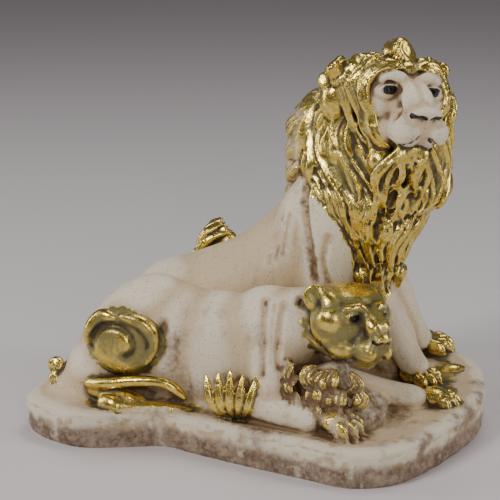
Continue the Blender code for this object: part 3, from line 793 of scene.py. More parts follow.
@dataclass(frozen=True)
class Lion(Figure):
    """The lion, who sits up behind her; his size is his height."""

    @property
    def head(self) -> Head:
        """Gives his head."""
        own = turned(self.frame, (83, 26, 199.5), heading=-57.5, pitch=7, roll=-6, size=1.14)
        return Head(own, (27, 23, 22), 11, 17.5, Coat.IVORY, Coat.GOLD, askew=6)

    def body(self, clay: Clay) -> None:
        """Adds rump, back, ribs, chest and shoulders.

        Args:
            clay: What they are added to.
        """
        clay.coat = Coat.IVORY
        clay.blob(self.frame, (-69, 28, 42), (38, 36, 38), (0, -12, 0))
        clay.blob(self.frame, (-92, 22, 22), (30, 34, 26), (0, -40, 0))
        spine = [(-74, 32, 42, 34), (-48, 38, 50, 35), (-8, 40, 69, 35), (28, 40, 101, 36)]
        spine += [(48, 38, 134, 34), (58, 38, 160, 30)]
        clay.limb(self.frame, spine, 24, 30)
        for row in (
            ((38, 42, 70), (34, 34, 60), (0, 14, 0)),
            ((54, 38, 108), (34, 34, 56)),
            ((44, 14, 100), (24, 16, 46), (0, 6, 0)),
            ((18, 28, 104), (20, 22, 46), (0, 14, 0)),
        ):
            clay.blob(self.frame, *row)

    def limbs(self, clay: Clay) -> None:
        """Adds his forelegs, with the cast's web between them.

        Args:
            clay: What they are added to.
        """
        clay.coat = Coat.IVORY
        for stations in (
            [(62, 24, 84, 18), (82, 26, 54, 12.5), (96, 30, 24, 10), (106, 34, 8, 10)],
            [(64, 54, 90, 18), (80, 60, 56, 13), (90, 70, 30, 10.5), (97, 82, 13, 10)],
            [(62, 44, 60, 20), (80, 48, 30, 17), (86, 52, 4, 16)],
        ):
            clay.limb(self.frame, stations)

    def furrows(self, clay: Clay) -> None:
        """Notes the furrows of his shoulder.

        Args:
            clay: What they are pressed into.
        """
        shoulder = [(24, 14, 148), (28, 4, 122), (34, -4, 97), (36, -4, 82)]
        clay.stroke(self.frame, shoulder, 2.6, 3.6, ink=0.4, wash=0.9)
        clay.stroke(self.frame, [(46, -4, 112), (43, -5, 96), (47, -4, 80)], 2.4, 1.8, wash=0.6)
        for k in range(4):
            x = 14 - 5 * k
            crease = [(x + 4, 8, 140 - 9 * k), (x, 4, 118 - 6 * k), (x - 2, 2, 96 - 3 * k)]
            clay.stroke(self.frame, crease, 1.2, 0.9, wash=0.5)

    def tail(self, clay: Clay) -> None:
        """Adds the tuft of his tail, standing up behind his back.

        Args:
            clay: What it is added to.
        """
        clay.coat = Coat.GOLD
        stem = [(-96, 56, 8, 6), (-98, 76, 22, 5), (-84, 82, 44, 4.5), (-66, 76, 64, 5)]
        clay.limb(self.frame, stem, 12, 24)
        clay.blob(self.frame, (-58, 72, 76), (18, 10, 13), (0, -36, 0))
        for number in range(7):
            t = number / 6
            start = (-74 + 10 * t, 60 + 16 * t, 66 + 4 * math.sin(3 * t))
            tip = (-42 - 18 * t, 64 + 12 * t, 92 + 8 * math.sin(2.4 * t))
            middle = [0.5 * (a + b) for a, b in zip(start, tip)]
            bow = 4 * math.sin(2.3 * number)
            path = [start, (middle[0] - 3, middle[1] + bow, middle[2] + 5), tip]
            clay.lock(self.frame, path, (-58, 72, 70), 4.6, 5)


@dataclass(frozen=True)
class Mane:
    """His mane: a mass worked into S-shaped locks, loose tips, a fringe, coils and tufts on his chest."""

    lion: Lion
    front: float = -40.0
    locks: int = 24
    rows: float = 3.1
    rises: tuple[float, float] = (8.0, 3.0)
    fold: float = 0.34
    hair: float = 0.12
    strands: int = 3
    beards: int = 7
    axis: tuple[Numbers, ...] = (
        (84, 31, 219, 8, 8), (80, 34, 211, 34, 27), (75, 37, 199, 45, 33), (71, 38, 181, 48, 39),
        (69, 38, 158, 50, 41), (73, 31, 136, 42, 35), (75, 22, 115, 24, 22), (78, 20, 88, 11, 12),
    )
    edges: tuple[Numbers, ...] = (
        (0.50, 6, 118, 190, 0.24, 22, 5.0), (0.64, 7, 60, 150, 0.24, 26, 5.0),
        (0.74, 6, -44, 90, 0.24, 20, 5.0), (0.58, 4, -92, -48, 0.20, 10, 5.4),
    )
    face: tuple[Numbers, ...] = (
        (21, 3, 20), (20, 11, 21), (17, 19, 18), (15, 23, 10), (16, 22, 1), (17, 19, -7),
        (19, 17, -14), (21, 14, -20), (23, 7, -25),
    )
    coils: tuple[Numbers, ...] = (
        (8, -3, 29, 9.0, 20), (13, 15, 22, 5.6, 80), (8, 22, 20, 5.2, 140), (12, -20, 22, 6.0, 200),
        (0, -36, 16, 8.0, 260), (4, 26, -11, 6.5, 40), (-8, -39, 10, 6.0, 320), (2, -24, 22, 5.5, 30),
        (-8, 12, 20, 7.5, 60), (-8, -14, 20, 7.5, 120), (-16, 27, 11, 7.0, 170), (-24, 0, 14, 8.0, 230),
        (-24, -24, 8, 7.5, 290),
    )

    def relief(self, share: np.ndarray, around: np.ndarray) -> np.ndarray:
        """Works out how far the hair stands off the mass: two layers of S-shaped locks.

        Args:
            share: Shares of the way down the mane.
            around: Degrees round it from its front.

        Returns:
            The rise at each place.
        """
        bow = 22 * share * np.sin(np.radians(around)) + 13 * np.sin(2 * math.pi * 1.7 * share + 0.4)
        across = (around + bow) * self.locks / 360
        bunched = across + 0.34 * np.sin(2 * math.pi * across / 4)
        across = bunched + 0.1 * np.sin(2 * math.pi * (3 * share + across / 2))
        rise = np.zeros(len(share))
        for layer, height in enumerate(self.rises):
            beside = across + 0.5 * layer
            number = np.floor(beside) % self.locks
            down = self.rows * share + chance(number, layer)
            t = np.modf(down)[0]
            hook = 0.4 * np.sin(2 * math.pi * t) * (chance(number + np.floor(down), 3) - 0.2)
            c = 2 * (beside - np.floor(beside) - 0.5) + hook
            width = 0.98 * (1 - 0.55 * t**4)
            round_top = np.cos(0.5 * math.pi * np.clip(c / width, -1, 1))
            strands = 1 - self.fold * np.sin(1.5 * math.pi * c / width) ** 2
            strands = strands - self.hair * np.sin(4.5 * math.pi * c) ** 2
            rise = np.maximum(rise, height * round_top * strands * (0.4 + 0.6 * t**0.8) * (1 - t**14))
        return rise

    def place(self, level: float, angle: float, lift: float = 0.0) -> tuple[float, float, float]:
        """Finds a place on the mane.

        Args:
            level: The share of the way down from the crown.
            angle: Degrees round from the front.
            lift: How far it stands off the mass.

        Returns:
            Its x, y and z in the lion's frame.
        """
        x, y, z, across, deep = curve_through(self.axis, np.array([level]))[0]
        turn = math.radians(self.front - angle)
        return (x + (across + lift) * math.cos(turn), y + (deep + lift) * math.sin(turn), z)

    def mass(self, clay: Clay) -> None:
        """Adds the mass with its locks, and the hair that backs the face.

        Args:
            clay: What it is added to.
        """

        def section(share: np.ndarray, angle: np.ndarray, place: np.ndarray, ahead: np.ndarray) -> np.ndarray:
            """Gives level oval offsets that rise with the locks.

            Args:
                share: Shares of the way along.
                angle: Angles round it.
                place: The curve's places.
                ahead: The curve's directions.

            Returns:
                A row of x, y, z for each.
            """
            around = (self.front - np.degrees(angle) + 180) % 360 - 180
            reach = curve_through(self.axis, share)[:, 3:] * 0.97 - 2.8 + self.relief(share, around)[:, None]
            reach = np.maximum(reach, 0) * np.minimum(1, 8 * np.sin(math.pi * share))[:, None]
            return np.column_stack((reach[:, 0] * np.cos(angle), reach[:, 1] * np.sin(angle), 0 * angle))

        clay.coat = Coat.GOLD
        clay.bent(self.lion.frame, self.axis, section, 420, 240)
        for row in (
            ((-8, -3, 1), (23, 29, 23)),
            ((-8, -34, 1), (10, 9, 14)),
            ((3, 0, -36), (12, 12, 16)),
            ((0, 2, -56), (12, 13, 14)),
            ((13, -11, -32), (9, 8, 9)),
            ((13, 0, 19), (8, 9, 6)),
        ):
            clay.blob(self.lion.head.frame, *row)

    def tips(self, clay: Clay) -> None:
        """Adds the loose locks whose tips break the mane's lower edge.

        Args:
            clay: What they are added to.
        """
        clay.coat = Coat.GOLD
        for number, (level, count, first, last, fall, sweep, width) in enumerate(self.edges):
            for k in range(int(count)):
                start = first + (last - first) * k / (count - 1)
                sway = math.sin(2.3 * k + 1.7 * number)
                forward = sweep * min(max(start / 90, -0.3), 1.0)
                path = []
                for step in range(7):
                    t = step / 6
                    angle = start - forward * t**1.3 - 7 * math.sin(2 * math.pi * t + 0.4 * sway)
                    path.append(self.place(level + (fall + 0.02 * sway) * t, angle, -5.0 + 8.0 * t**0.7))
                core = curve_through(self.axis, np.array([level + 0.5 * fall]))[0][:3]
                clay.lock(self.lion.frame, path, core, width + sway, 5.6)

    def fringe(self, clay: Clay) -> None:
        """Adds the strands combed round the face, and the beard.

        Args:
            clay: What they are added to.
        """
        clay.coat = Coat.GOLD
        head = self.lion.head.frame
        for side in (-1, 1):
            for strand in range(self.strands):
                wide = 1.08 + (0.2 if side < 0 else 0.1) * strand
                wave = [1 + 0.04 * math.sin(2.2 * k + 1.3 * strand) for k in range(len(self.face))]
                tall = 1.03 + 0.08 * strand
                path = []
                for (x, y, z), w in zip(self.face, wave):
                    tucked = 0.2 * min(max(z / 18, 0), 1) if side > 0 else 0
                    path.append((x - 6 * strand, side * y * (wide - tucked) * w, z * tall))
                clay.lock(head, path, (-14, 0, -2), 4.0, 3.6, combs=4)
            clay.limb(head, [(x - 4, side * 0.92 * y, 0.98 * z, 6) for x, y, z in self.face], 12, 30)
            clay.limb(head, [(x - 6, side * 0.80 * y, 0.90 * z, 6) for x, y, z in self.face[1:7]], 12, 30)
        for k in range(self.beards):
            side = 2 * k / (self.beards - 1) - 1
            bow, out = 4 * math.sin(2.6 * k + 0.5), 3 * math.sin(4.1 * k)
            path = [(28, 5 * side, -20), (27, 8 * side + bow, -27), (20 + out, 13 * side - bow, -40)]
            path.append((15 - out, 14 * side + bow, -54))
            path.append((11 + out, 13 * side - bow, -68 + 7 * math.sin(2.6 * k)))
            clay.lock(head, path, (0, 0, -40), 3.6 + 1.2 * math.sin(1.9 * k), 6.0, combs=4)

    def crown(self, clay: Clay) -> None:
        """Adds the coils that stand up round the top of his head.

        Args:
            clay: What they are added to.
        """
        clay.coat = Coat.GOLD
        for x, y, z, radius, spin in self.coils:
            turn = math.radians(spin)
            clay.curl(self.lion.head.frame, (x, y, z), radius, (math.cos(turn), math.sin(turn), 0.6))

    def nape(self, clay: Clay) -> None:
        """Adds the worn, flat-topped clump at the back of his neck.

        Args:
            clay: What it is added to.
        """
        clay.coat = Coat.AGED
        clay.lock(self.lion.frame, [(44, 44, 196), (24, 48, 193), (6, 54, 186)], (30, 50, 150), 12, 8)
        clay.coat = Coat.WORN
        clay.blob(self.lion.frame, (24, 46, 172), (18, 24, 32), (0, 10, 0))
        for k in range(4):
            z = 176 - 15 * k
            clay.lock(self.lion.frame, [(22, 30, z + 12), (10, 34, z), (8, 40, z - 16)], (34, 44, z), 8, 6)

    def chest(self, clay: Clay) -> None:
        """Adds the gilded fur on his chest.

        Args:
            clay: What it is added to.
        """
        clay.coat = Coat.GOLD
        clay.blob(self.lion.frame, (76, 22, 98), (14, 15, 22))
        for row in range(2):
            for k in range(8):
                t = k / 7
                drop = 16 * row
                start = (64 + 30 * t, 12 + 10 * t, 112 - drop + 5 * math.sin(4 * t))
                tip = (66 + 24 * t, 8 + 12 * t, 88 - drop + 5 * math.sin(9 * t))
                middle = [0.5 * (a + b) for a, b in zip(start, tip)]
                bow = 2.5 * math.sin(2.2 * k + row)
                path = [start, (middle[0] + bow, middle[1] - 3, middle[2]), tip]
                clay.lock(self.lion.frame, path, (78, 40, 96 - drop), 4.0, 4.6)


@dataclass
class Statue:
    """The whole cast: both lions and their rock in one piece, with its coats kept on its vertices."""

    body_voxel: float = 0.0030
    form_voxel: float = 0.0014
    lock_voxel: float = 0.0010
    triangles: int = 194000
    shade_reach: float = 0.016
    shade_rays: int = 14
    shade_lift: float = 0.0004
    crest_spread: int = 8
    crest_height: float = 0.0012
    coat_spreads: tuple[int, int, int, int] = (2, 6, 10, 12)
    layer_depth: float = 0.0011
    chip_depth: float = 0.0006
    rock: Rock = field(default_factory=Rock)
    lion: Lion = field(default_factory=Lion)
    lioness: Lioness = field(default_factory=Lioness)
    clay: Clay = field(default_factory=Clay)

    @staticmethod
    def arrays(mesh: bpy.types.Mesh) -> tuple[np.ndarray, np.ndarray]:
        """Reads a mesh.

        Args:
            mesh: The mesh to read.

        Returns:
            Its vertices' places and outward directions, a row for each.
        """
        places = np.empty(3 * len(mesh.vertices))
        mesh.vertices.foreach_get("co", places)
        outward = np.empty(3 * len(mesh.vertices))
        mesh.vertices.foreach_get("normal", outward)
        return places.reshape(-1, 3), outward.reshape(-1, 3)

    def sculpt(self) -> bpy.types.Mesh:
        """Models the statue, from the big masses to the locks.

        Returns:
            Its fine skin.
        """
        clay, mane = self.clay, Mane(self.lion)
        self.rock.model(clay)
        self.lioness.body(clay)
        self.lion.body(clay)
        clay.press(self.body_voxel, 10)
        self.lioness.limbs(clay)
        self.lion.limbs(clay)
        self.lion.head.model(clay)
        self.lioness.head.model(clay)
        self.lion.furrows(clay)
        self.lioness.furrows(clay)
        clay.press(self.form_voxel, 5)
        self.lion.head.eyes(clay)
        self.lioness.head.eyes(clay)
        self.lioness.ears(clay)
        for paw in self.paws():
            paw.model(clay)
        clay.blob(self.lion.frame, (124, 56, 6), (9, 6.5, 5.5), (0, 0, 25))
        self.lioness.tail(clay)
        self.lion.tail(clay)
        mane.nape(clay)
        mane.mass(clay)
        mane.tips(clay)
        mane.fringe(clay)
        mane.crown(clay)
        mane.chest(clay)
        self.lioness.fur(clay)
        self.lioness.grass(clay)
        return clay.press(self.lock_voxel, 1)

    def paws(self) -> list[Paw]:
        """Lists the four forepaws.

        Returns:
            Hers, then his.
        """
        return [
            Paw(turned(self.lioness.frame, (71, -63, 6.5), heading=-20, size=0.95), Coat.SPECKED),
            Paw(turned(self.lioness.frame, (122, 4, 4), heading=-4, size=0.85)),
            Paw(turned(self.lion.frame, (103, 32, 7), heading=-20, size=0.95)),
            Paw(turned(self.lion.frame, (98, 84, 12), heading=4, size=1.1)),
        ]

    def thinned(self, mesh: bpy.types.Mesh) -> bpy.types.Mesh:
        """Draws the skin with fewer triangles.

        Args:
            mesh: The fine skin.

        Returns:
            The thinner one.
        """
        mesh.calc_loop_triangles()
        ratio = self.triangles / len(mesh.loop_triangles)
        return modified(mesh, {"DECIMATE": {"ratio": ratio, "use_collapse_triangulate": True}})

    @staticmethod
    def largest_shell(solid: bmesh.types.BMesh) -> None:
        """Deletes every loose shell but the largest.

        Args:
            solid: What is cleaned.
        """
        shells = []
        seen: set[bmesh.types.BMVert] = set()
        for first in solid.verts:
            if first not in seen:
                shell, front = {first}, [first]
                while front:
                    near = {edge.other_vert(vert) for vert in front for edge in vert.link_edges} - shell
                    shell |= near
                    front = list(near)
                seen |= shell
                shells.append(shell)
        shells.sort(key=len, reverse=True)
        bmesh.ops.delete(solid, geom=[vert for shell in shells[1:] for vert in shell], context="VERTS")

    def seated(self, mesh: bpy.types.Mesh) -> bpy.types.Mesh:
        """Cuts the underside flat, closes it and keeps only its largest shell.

        Args:
            mesh: The thinned skin, which is changed.

        Returns:
            The same mesh.
        """
        solid = bmesh.new()
        solid.from_mesh(mesh)
        everything = solid.verts[:] + solid.edges[:] + solid.faces[:]
        floor = {"plane_co": (0, 0, 0), "plane_no": (0, 0, -1)}
        bmesh.ops.bisect_plane(solid, geom=everything, clear_outer=True, **floor)
        bmesh.ops.holes_fill(solid, edges=[edge for edge in solid.edges if edge.is_boundary], sides=0)
        self.largest_shell(solid)
        bmesh.ops.dissolve_degenerate(solid, edges=solid.edges, dist=1e-5)
        bmesh.ops.triangulate(solid, faces=solid.faces)
        bmesh.ops.recalc_face_normals(solid, faces=solid.faces)
        solid.to_mesh(mesh)
        solid.free()
        return mesh

    def fitted(self, mesh: bpy.types.Mesh) -> None:
        """Lays the mesh exactly in the solid's box.

        Args:
            mesh: What is moved.
        """
        low, high = (np.array(corner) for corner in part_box(NODE))
        places = self.arrays(mesh)[0]
        own_low, own_high = places.min(axis=0), places.max(axis=0)
        places = low + (places - own_low) * (high - low) / (own_high - own_low)
        mesh.vertices.foreach_set("co", places.ravel())
        mesh.update()

    def coats(self, mesh: bpy.types.Mesh) -> tuple[np.ndarray, ...]:
        """Finds what each vertex wears from the nearest lump.

        Args:
            mesh: The mesh, still where it was modelled.

        Returns:
            The shares of gold leaf, of rock colour, of patina and of dirt.
        """
        samples, worn = np.concatenate(self.clay.samples), np.concatenate(self.clay.coats)
        tree = KDTree(len(samples))
        for number, sample in enumerate(samples):
            tree.insert(sample, number)
        tree.balance()
        places = self.arrays(mesh)[0]
        nearest = np.array([tree.find(place)[1] for place in places])
        shares = zip(worn[nearest].T, self.coat_spreads)
        return tuple(self.spread(mesh, values, times) for values, times in shares)

    @staticmethod
    def spread(mesh: bpy.types.Mesh, values: np.ndarray, times: int) -> np.ndarray:
        """Smooths values over the mesh.

        Args:
            mesh: The mesh that they belong to.
            values: One for each vertex.
            times: How many times each is averaged with its neighbours.

        Returns:
            The smoothed values.
        """
        edges = np.empty(2 * len(mesh.edges), int)
        mesh.edges.foreach_get("vertices", edges)
        one, other = edges.reshape(-1, 2).T
        ends = np.concatenate((one, other))
        count = np.maximum(np.bincount(ends, minlength=len(values)), 1)
        for _ in range(times):
            near = np.bincount(ends, weights=values[np.concatenate((other, one))], minlength=len(values))
            values = 0.5 * values + 0.5 * near / count
        return values

    @staticmethod
    def tree(mesh: bpy.types.Mesh) -> BVHTree:
        """Sorts a mesh's triangles for searching.

        Args:
            mesh: The mesh.

        Returns:
            The search tree.
        """
        mesh.calc_loop_triangles()
        corners = np.empty(3 * len(mesh.loop_triangles), int)
        mesh.loop_triangles.foreach_get("vertices", corners)
        places = Statue.arrays(mesh)[0]
        return BVHTree.FromPolygons(places.tolist(), corners.reshape(-1, 3).tolist(), all_triangles=True)

    def hollows(self, mesh: bpy.types.Mesh) -> np.ndarray:
        """Measures how shut in each vertex is, by casting rays over it.

        Args:
            mesh: The mesh to look at.

        Returns:
            A share from 0, open, to 1, shut in, for each vertex.
        """
        places, outward = self.arrays(mesh)
        tree = self.tree(mesh)
        golden = math.pi * (3 - math.sqrt(5))
        ways = []
        for k in range(self.shade_rays):
            rise = 1 - (k + 0.5) / self.shade_rays * 0.9
            level = math.sqrt(1 - rise**2)
            ways.append((level * math.cos(golden * k), level * math.sin(golden * k), rise))
        side = unit(np.cross(outward, (0.31, 0.87, 0.13)))
        third = np.cross(outward, side)
        starts = places + outward * self.shade_lift
        shut = np.zeros(len(places))
        for way in ways:
            rays = side * way[0] + third * way[1] + outward * way[2]
            hits = [tree.ray_cast(start, ray, self.shade_reach)[3] for start, ray in zip(starts, rays)]
            shut += np.array([0.0 if hit is None else 1 - 0.7 * hit / self.shade_reach for hit in hits])
        return self.spread(mesh, shut / self.shade_rays, 1)

    def crests(self, mesh: bpy.types.Mesh) -> np.ndarray:
        """Measures how far each vertex stands out from its surroundings.

        Args:
            mesh: The mesh to look at.

        Returns:
            About 0.5 on the flat, up to 1 on a ridge and down to 0 in a groove.
        """
        places, outward = self.arrays(mesh)
        round_about = np.column_stack([self.spread(mesh, places[:, k], self.crest_spread) for k in range(3)])
        proud = ((places - round_about) * outward).sum(axis=1)
        return np.clip(0.5 + proud / self.crest_height, 0, 1)

    def painted(self, mesh: bpy.types.Mesh, lines: list[Line]) -> np.ndarray:
        """Finds where painted lines lie.

        Args:
            mesh: The mesh, still where it was modelled.
            lines: The lines.

        Returns:
            A share from 0 to 1 for each vertex.
        """
        places = self.arrays(mesh)[0]
        tree = self.tree(mesh)
        paint = np.zeros(len(places))
        for line in lines:
            line.snap(tree)
            near, fall = line.fall(places)
            paint[near] = np.maximum(paint[near], line.strength * fall)
        return np.clip(paint, 0, 1)

    def roughened(self, mesh: bpy.types.Mesh, rock: np.ndarray) -> None:
        """Breaks up the rock's sides with chips and layers.

        Args:
            mesh: What is roughened.
            rock: The share of rock colour on each vertex.
        """
        places, outward = self.arrays(mesh)
        side = np.clip(rock * 1.4 - 0.2, 0, 1) * np.clip(1.3 - np.abs(outward[:, 2]) * 1.5, 0.12, 1)
        side *= np.clip(places[:, 2] / 0.003, 0, 1)
        for k in np.flatnonzero(side > 0.02):
            x, y, z = places[k]
            layers = noise.fractal((x * 45, y * 45, z * 210), 0.9, 2.1, 4)
            chips = noise.fractal((x * 230, y * 230, z * 230), 0.8, 2.2, 3)
            worn = self.layer_depth * max(layers, -0.3) + self.chip_depth * chips
            places[k] -= outward[k] * side[k] * worn
        mesh.vertices.foreach_set("co", places.ravel())
        mesh.update()

    def build(self, finish: "AntiqueGilding") -> bpy.types.Object:
        """Makes the finished piece.

        Args:
            finish: What it is painted with.

        Returns:
            The statue's object.
        """
        mesh = self.seated(self.thinned(self.sculpt()))
        gold, rock, patina, dirt = self.coats(mesh)
        self.roughened(mesh, rock)
        marks = {
            "gold": gold, "rock": rock, "patina": patina,
            "ink": self.painted(mesh, self.clay.paint),
            "wash": np.maximum(dirt, self.painted(mesh, self.clay.washes)),
            "hollow": self.hollows(mesh), "crest": self.crests(mesh),
        }
        self.fitted(mesh)
        for name, values in marks.items():
            mesh.attributes.new(name, "FLOAT", "POINT").data.foreach_set("value", values.astype(np.float32))
        mesh.shade_smooth()
        piece = linked("lion_couple_cast", mesh)
        mesh.materials.clear()
        mesh.materials.append(finish.material())
        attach(piece, "root")
        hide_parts(NODE)
        LOG.info("%s: %d triangles", piece.name, len(mesh.polygons))
        return piece


class Signal:
    """A number on its way through a material's nodes; Python's signs add Math nodes to it."""

    def __init__(self, graph: "Graph", socket: bpy.types.NodeSocket) -> None:
        """Wraps an output socket of a graph."""
        self.graph = graph
        self.socket = socket

    def math(self, operation: str, other: "Signal | float", swapped: bool = False) -> "Signal":
        """Adds a Math node.

        Args:
            operation: The node's operation.
            other: The second value.
            swapped: Whether the second value comes first.

        Returns:
            The node's result.
        """
        values = (other, self) if swapped else (self, other)
        node = self.graph.node("ShaderNodeMath", {"operation": operation}, dict(enumerate(values)))
        return Signal(self.graph, node.outputs[0])

    def __add__(self, other: "Signal | float") -> "Signal":
        """Adds."""
        return self.math("ADD", other)

    def __radd__(self, other: float) -> "Signal":
        """Adds, turned round."""
        return self.math("ADD", other)

    def __sub__(self, other: "Signal | float") -> "Signal":
        """Subtracts."""
        return self.math("SUBTRACT", other)

    def __rsub__(self, other: float) -> "Signal":
        """Subtracts from a number."""
        return self.math("SUBTRACT", other, swapped=True)

    def __mul__(self, other: "Signal | float") -> "Signal":
        """Multiplies."""
        return self.math("MULTIPLY", other)

    def __rmul__(self, other: float) -> "Signal":
        """Multiplies, turned round."""
        return self.math("MULTIPLY", other)

    def most(self, other: "Signal | float") -> "Signal":
        """Takes the larger value."""
        return self.math("MAXIMUM", other)

    def step(self, low: float, high: float) -> "Signal":
        """Goes smoothly from 0 to 1 as the value goes from low to high.

        Args:
            low: Where it leaves 0.
            high: Where it reaches 1.

        Returns:
            The stepped value.
        """
        settings = {"interpolation_type": "SMOOTHSTEP"}
        node = self.graph.node("ShaderNodeMapRange", settings, {0: self, 1: low, 2: high})
        return Signal(self.graph, node.outputs[0])


class Graph:
    """A new material and its nodes."""

    def __init__(self, name: str) -> None:
        """Starts a material with its shader and output.

        Args:
            name: The material's name.
        """
        self.material = bpy.data.materials.new(name)
        self.material.use_nodes = True
        self.tree = self.material.node_tree
        self.tree.nodes.clear()
        self.shader = self.node("ShaderNodeBsdfPrincipled", {}, {})
        self.node("ShaderNodeOutputMaterial", {}, {0: self.shader.outputs[0]})
        self.coordinates = self.node("ShaderNodeTexCoord", {}, {}).outputs["Object"]

    def node(self, kind: str, settings: dict, inputs: dict) -> bpy.types.Node:
        """Adds a node.

        Args:
            kind: The node's type.
            settings: Its properties, set first.
            inputs: Its sockets' values or links, by name or number.

        Returns:
            The node.
        """
        node = self.tree.nodes.new(kind)
        for key, value in settings.items():
            setattr(node, key, value)
        for key, value in inputs.items():
            self.feed(node.inputs[key], value)
        return node

    def feed(self, socket: bpy.types.NodeSocket, value: object) -> None:
        """Links a value to a socket, or sets it there.

        Args:
            socket: The input.
            value: A signal, an output socket, a number or a colour.
        """
        if isinstance(value, Signal):
            value = value.socket
        if isinstance(value, bpy.types.NodeSocket):
            self.tree.links.new(value, socket)
        else:
            socket.default_value = value

    def mark(self, name: str) -> Signal:
        """Reads a value kept on the mesh."""
        return Signal(self, self.node("ShaderNodeAttribute", {"attribute_name": name}, {}).outputs["Fac"])

    def grain(
        self, scale: float, detail: float = 4.0, roughness: float = 0.55, stretch: Numbers = (1, 1, 1)
    ) -> Signal:
        """Adds a noise.

        Args:
            scale: Its scale.
            detail: Its octaves.
            roughness: How strong the fine octaves are.
            stretch: Its scale along each axis.

        Returns:
            The noise, about 0.5.
        """
        mapping = self.node("ShaderNodeMapping", {}, {"Vector": self.coordinates, "Scale": stretch})
        inputs = {"Vector": mapping.outputs[0], "Scale": scale, "Detail": detail, "Roughness": roughness}
        return Signal(self, self.node("ShaderNodeTexNoise", {}, inputs).outputs[0])

    def blend(self, share: Signal, under: object, over: object) -> bpy.types.NodeSocket:
        """Mixes two colours.

        Args:
            share: How much of the upper one shows.
            under: The lower colour, set or linked.
            over: The upper colour, set or linked.

        Returns:
            The mixed colour's socket.
        """
        node = self.node("ShaderNodeMix", {"data_type": "RGBA"}, {0: share, 6: under, 7: over})
        return node.outputs[2]


